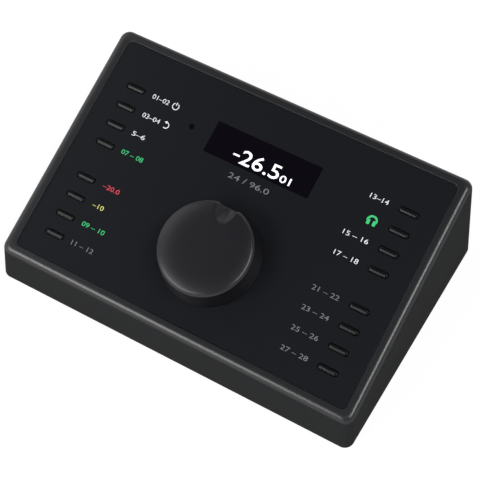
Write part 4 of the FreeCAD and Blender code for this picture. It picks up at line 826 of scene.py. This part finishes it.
for side in ("left", "right"):
    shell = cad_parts[f"network_socket_{side}"]
    box = 1000 * np.array([shell.matrix_world @ Vector(corner) for corner in shell.bound_box])
    middle, mouth, floor_level = box[:, 0].mean(), box[:, 1].max(), box[:, 2].min() + MOUTH_FLOOR
    back = mouth - MOUTH_DEPTH + LINER_FIT
    front = mouth - LINER_BACK
    rows = [mouth_line(middle, floor_level, y, inset) for y, inset in (
        (back, LINER_FIT), (front, LINER_FIT), (front, LINER), (back + LINER, LINER))]
    ends = [np.tile(row.mean(0), (len(row), 1)) for row in (rows[0], rows[-1])]
    liner = clean(grid_mesh(f"network_liner_{side}", np.stack([ends[0], *rows, ends[1]]) / 1000))
    add_piece(liner, black_mould, "base")
    ceiling = floor_level + MOUTH_HEIGHT - LINER
    path = np.array([(back + LINER + reach, ceiling - drop) for reach, drop in CONTACT_BENDS])
    middles = middle + CONTACT_PITCH * (np.arange(CONTACTS) - (CONTACTS - 1) / 2)
    contacts = bent_strips(f"network_contacts_{side}", middles, path, CONTACT_WIDTH, CONTACT_THICK)
    add_piece(contacts, gold, "base")

# ---------------------------------------------------------------- floor and lamps
# A white floor under two soft boxes, at the front left and high at the right, with weak broad lamps at the
# left and behind. Floor and horizon look white to the camera and in reflections, and light the object less.

FLOOR_HALF, FLOOR_GLOW, GLOW_SHARE = 6, 1.06, 0.88
HORIZON_LIGHT, HORIZON_SEEN, ZENITH_LIGHT = 0.42, 1.0, 0.10
SKY_FADE = (0.15, 0.65)


def background_rays(tree):
    """An output that is 1 for camera, transmission and glossy rays and 0 for others: the largest of three."""
    rays = add_node(tree, "LightPath", {}).outputs
    seen = add_node(tree, "Math", {0: rays["Is Camera Ray"], 1: rays["Is Transmission Ray"]}, "MAXIMUM")
    mirrored = add_node(tree, "Math", {0: seen.outputs["Value"], 1: rays["Is Glossy Ray"]}, "MAXIMUM")
    return mirrored.outputs["Value"]


floor_mesh = bpy.data.meshes.new("floor")
floor_corners = box_corners(-FLOOR_HALF, -FLOOR_HALF, FLOOR_HALF, FLOOR_HALF)
floor_mesh.from_pydata([(x, y, 0) for x, y in floor_corners], [], [(0, 1, 2, 3)])
floor_paint = bpy.data.materials.new("white_floor")
floor_paint.use_nodes = True
tree = floor_paint.node_tree
paint = tree.nodes["Principled BSDF"]
set_inputs(tree, paint, {"Base Color": (0.85, 0.85, 0.85, 1), "Roughness": 0.9})
glow = add_node(tree, "Emission", {"Strength": FLOOR_GLOW})
share = add_node(tree, "Math", {0: background_rays(tree), 1: GLOW_SHARE}, "MULTIPLY")
blend = add_node(tree, "MixShader", {
    "Fac": share.outputs["Value"], 1: paint.outputs["BSDF"], 2: glow.outputs["Emission"]})
set_inputs(tree, tree.nodes["Material Output"], {"Surface": blend.outputs["Shader"]})
floor_mesh.materials.append(floor_paint)
floor = linked("floor", floor_mesh)

world = bpy.data.worlds.new("studio")
world.use_nodes = True
scene.world = world
tree = world.node_tree
sky_place = add_node(tree, "TexCoord", {})
sky_height = add_node(tree, "SeparateXYZ", {"Vector": sky_place.outputs["Generated"]})
horizon = add_node(tree, "MapRange", {
    "Value": background_rays(tree), "To Min": HORIZON_LIGHT, "To Max": HORIZON_SEEN})
sky_level = add_node(tree, "MapRange", {
    "Value": sky_height.outputs["Z"], "From Min": SKY_FADE[0], "From Max": SKY_FADE[1],
    "To Min": horizon.outputs["Result"], "To Max": ZENITH_LIGHT})
sky_level.interpolation_type = "SMOOTHSTEP"
set_inputs(tree, tree.nodes["Background"], {
    "Color": (1, 1, 1, 1), "Strength": sky_level.outputs["Result"]})


LAMP_TARGET = (0, 0, 0.03)


def soft_lamp(name, place, width, height, watts):
    """A soft box that stands at a place, in metres, and faces the object."""
    lamp = linked(name, bpy.data.lights.new(name, "AREA"))
    lamp.data.shape = "RECTANGLE"
    lamp.data.size = width
    lamp.data.size_y = height
    lamp.data.energy = watts
    lamp.location = place
    lamp.rotation_euler = (Vector(LAMP_TARGET) - Vector(place)).to_track_quat("-Z", "Y").to_euler()


soft_lamp("front_lamp", (-0.50, -0.90, 0.80), 0.85, 0.46, 8.2)
soft_lamp("right_lamp", (0.62, -0.13, 1.08), 0.76, 0.32, 6.9)
soft_lamp("left_lamp", (-1.3, 0.1, 1.3), 1.1, 1.0, 4.2)
soft_lamp("rear_lamp", (-0.2, 1.5, 1.4), 1.8, 1.2, 4)

# ---------------------------------------------------------------- the end

scene.view_settings.view_transform = "Standard"
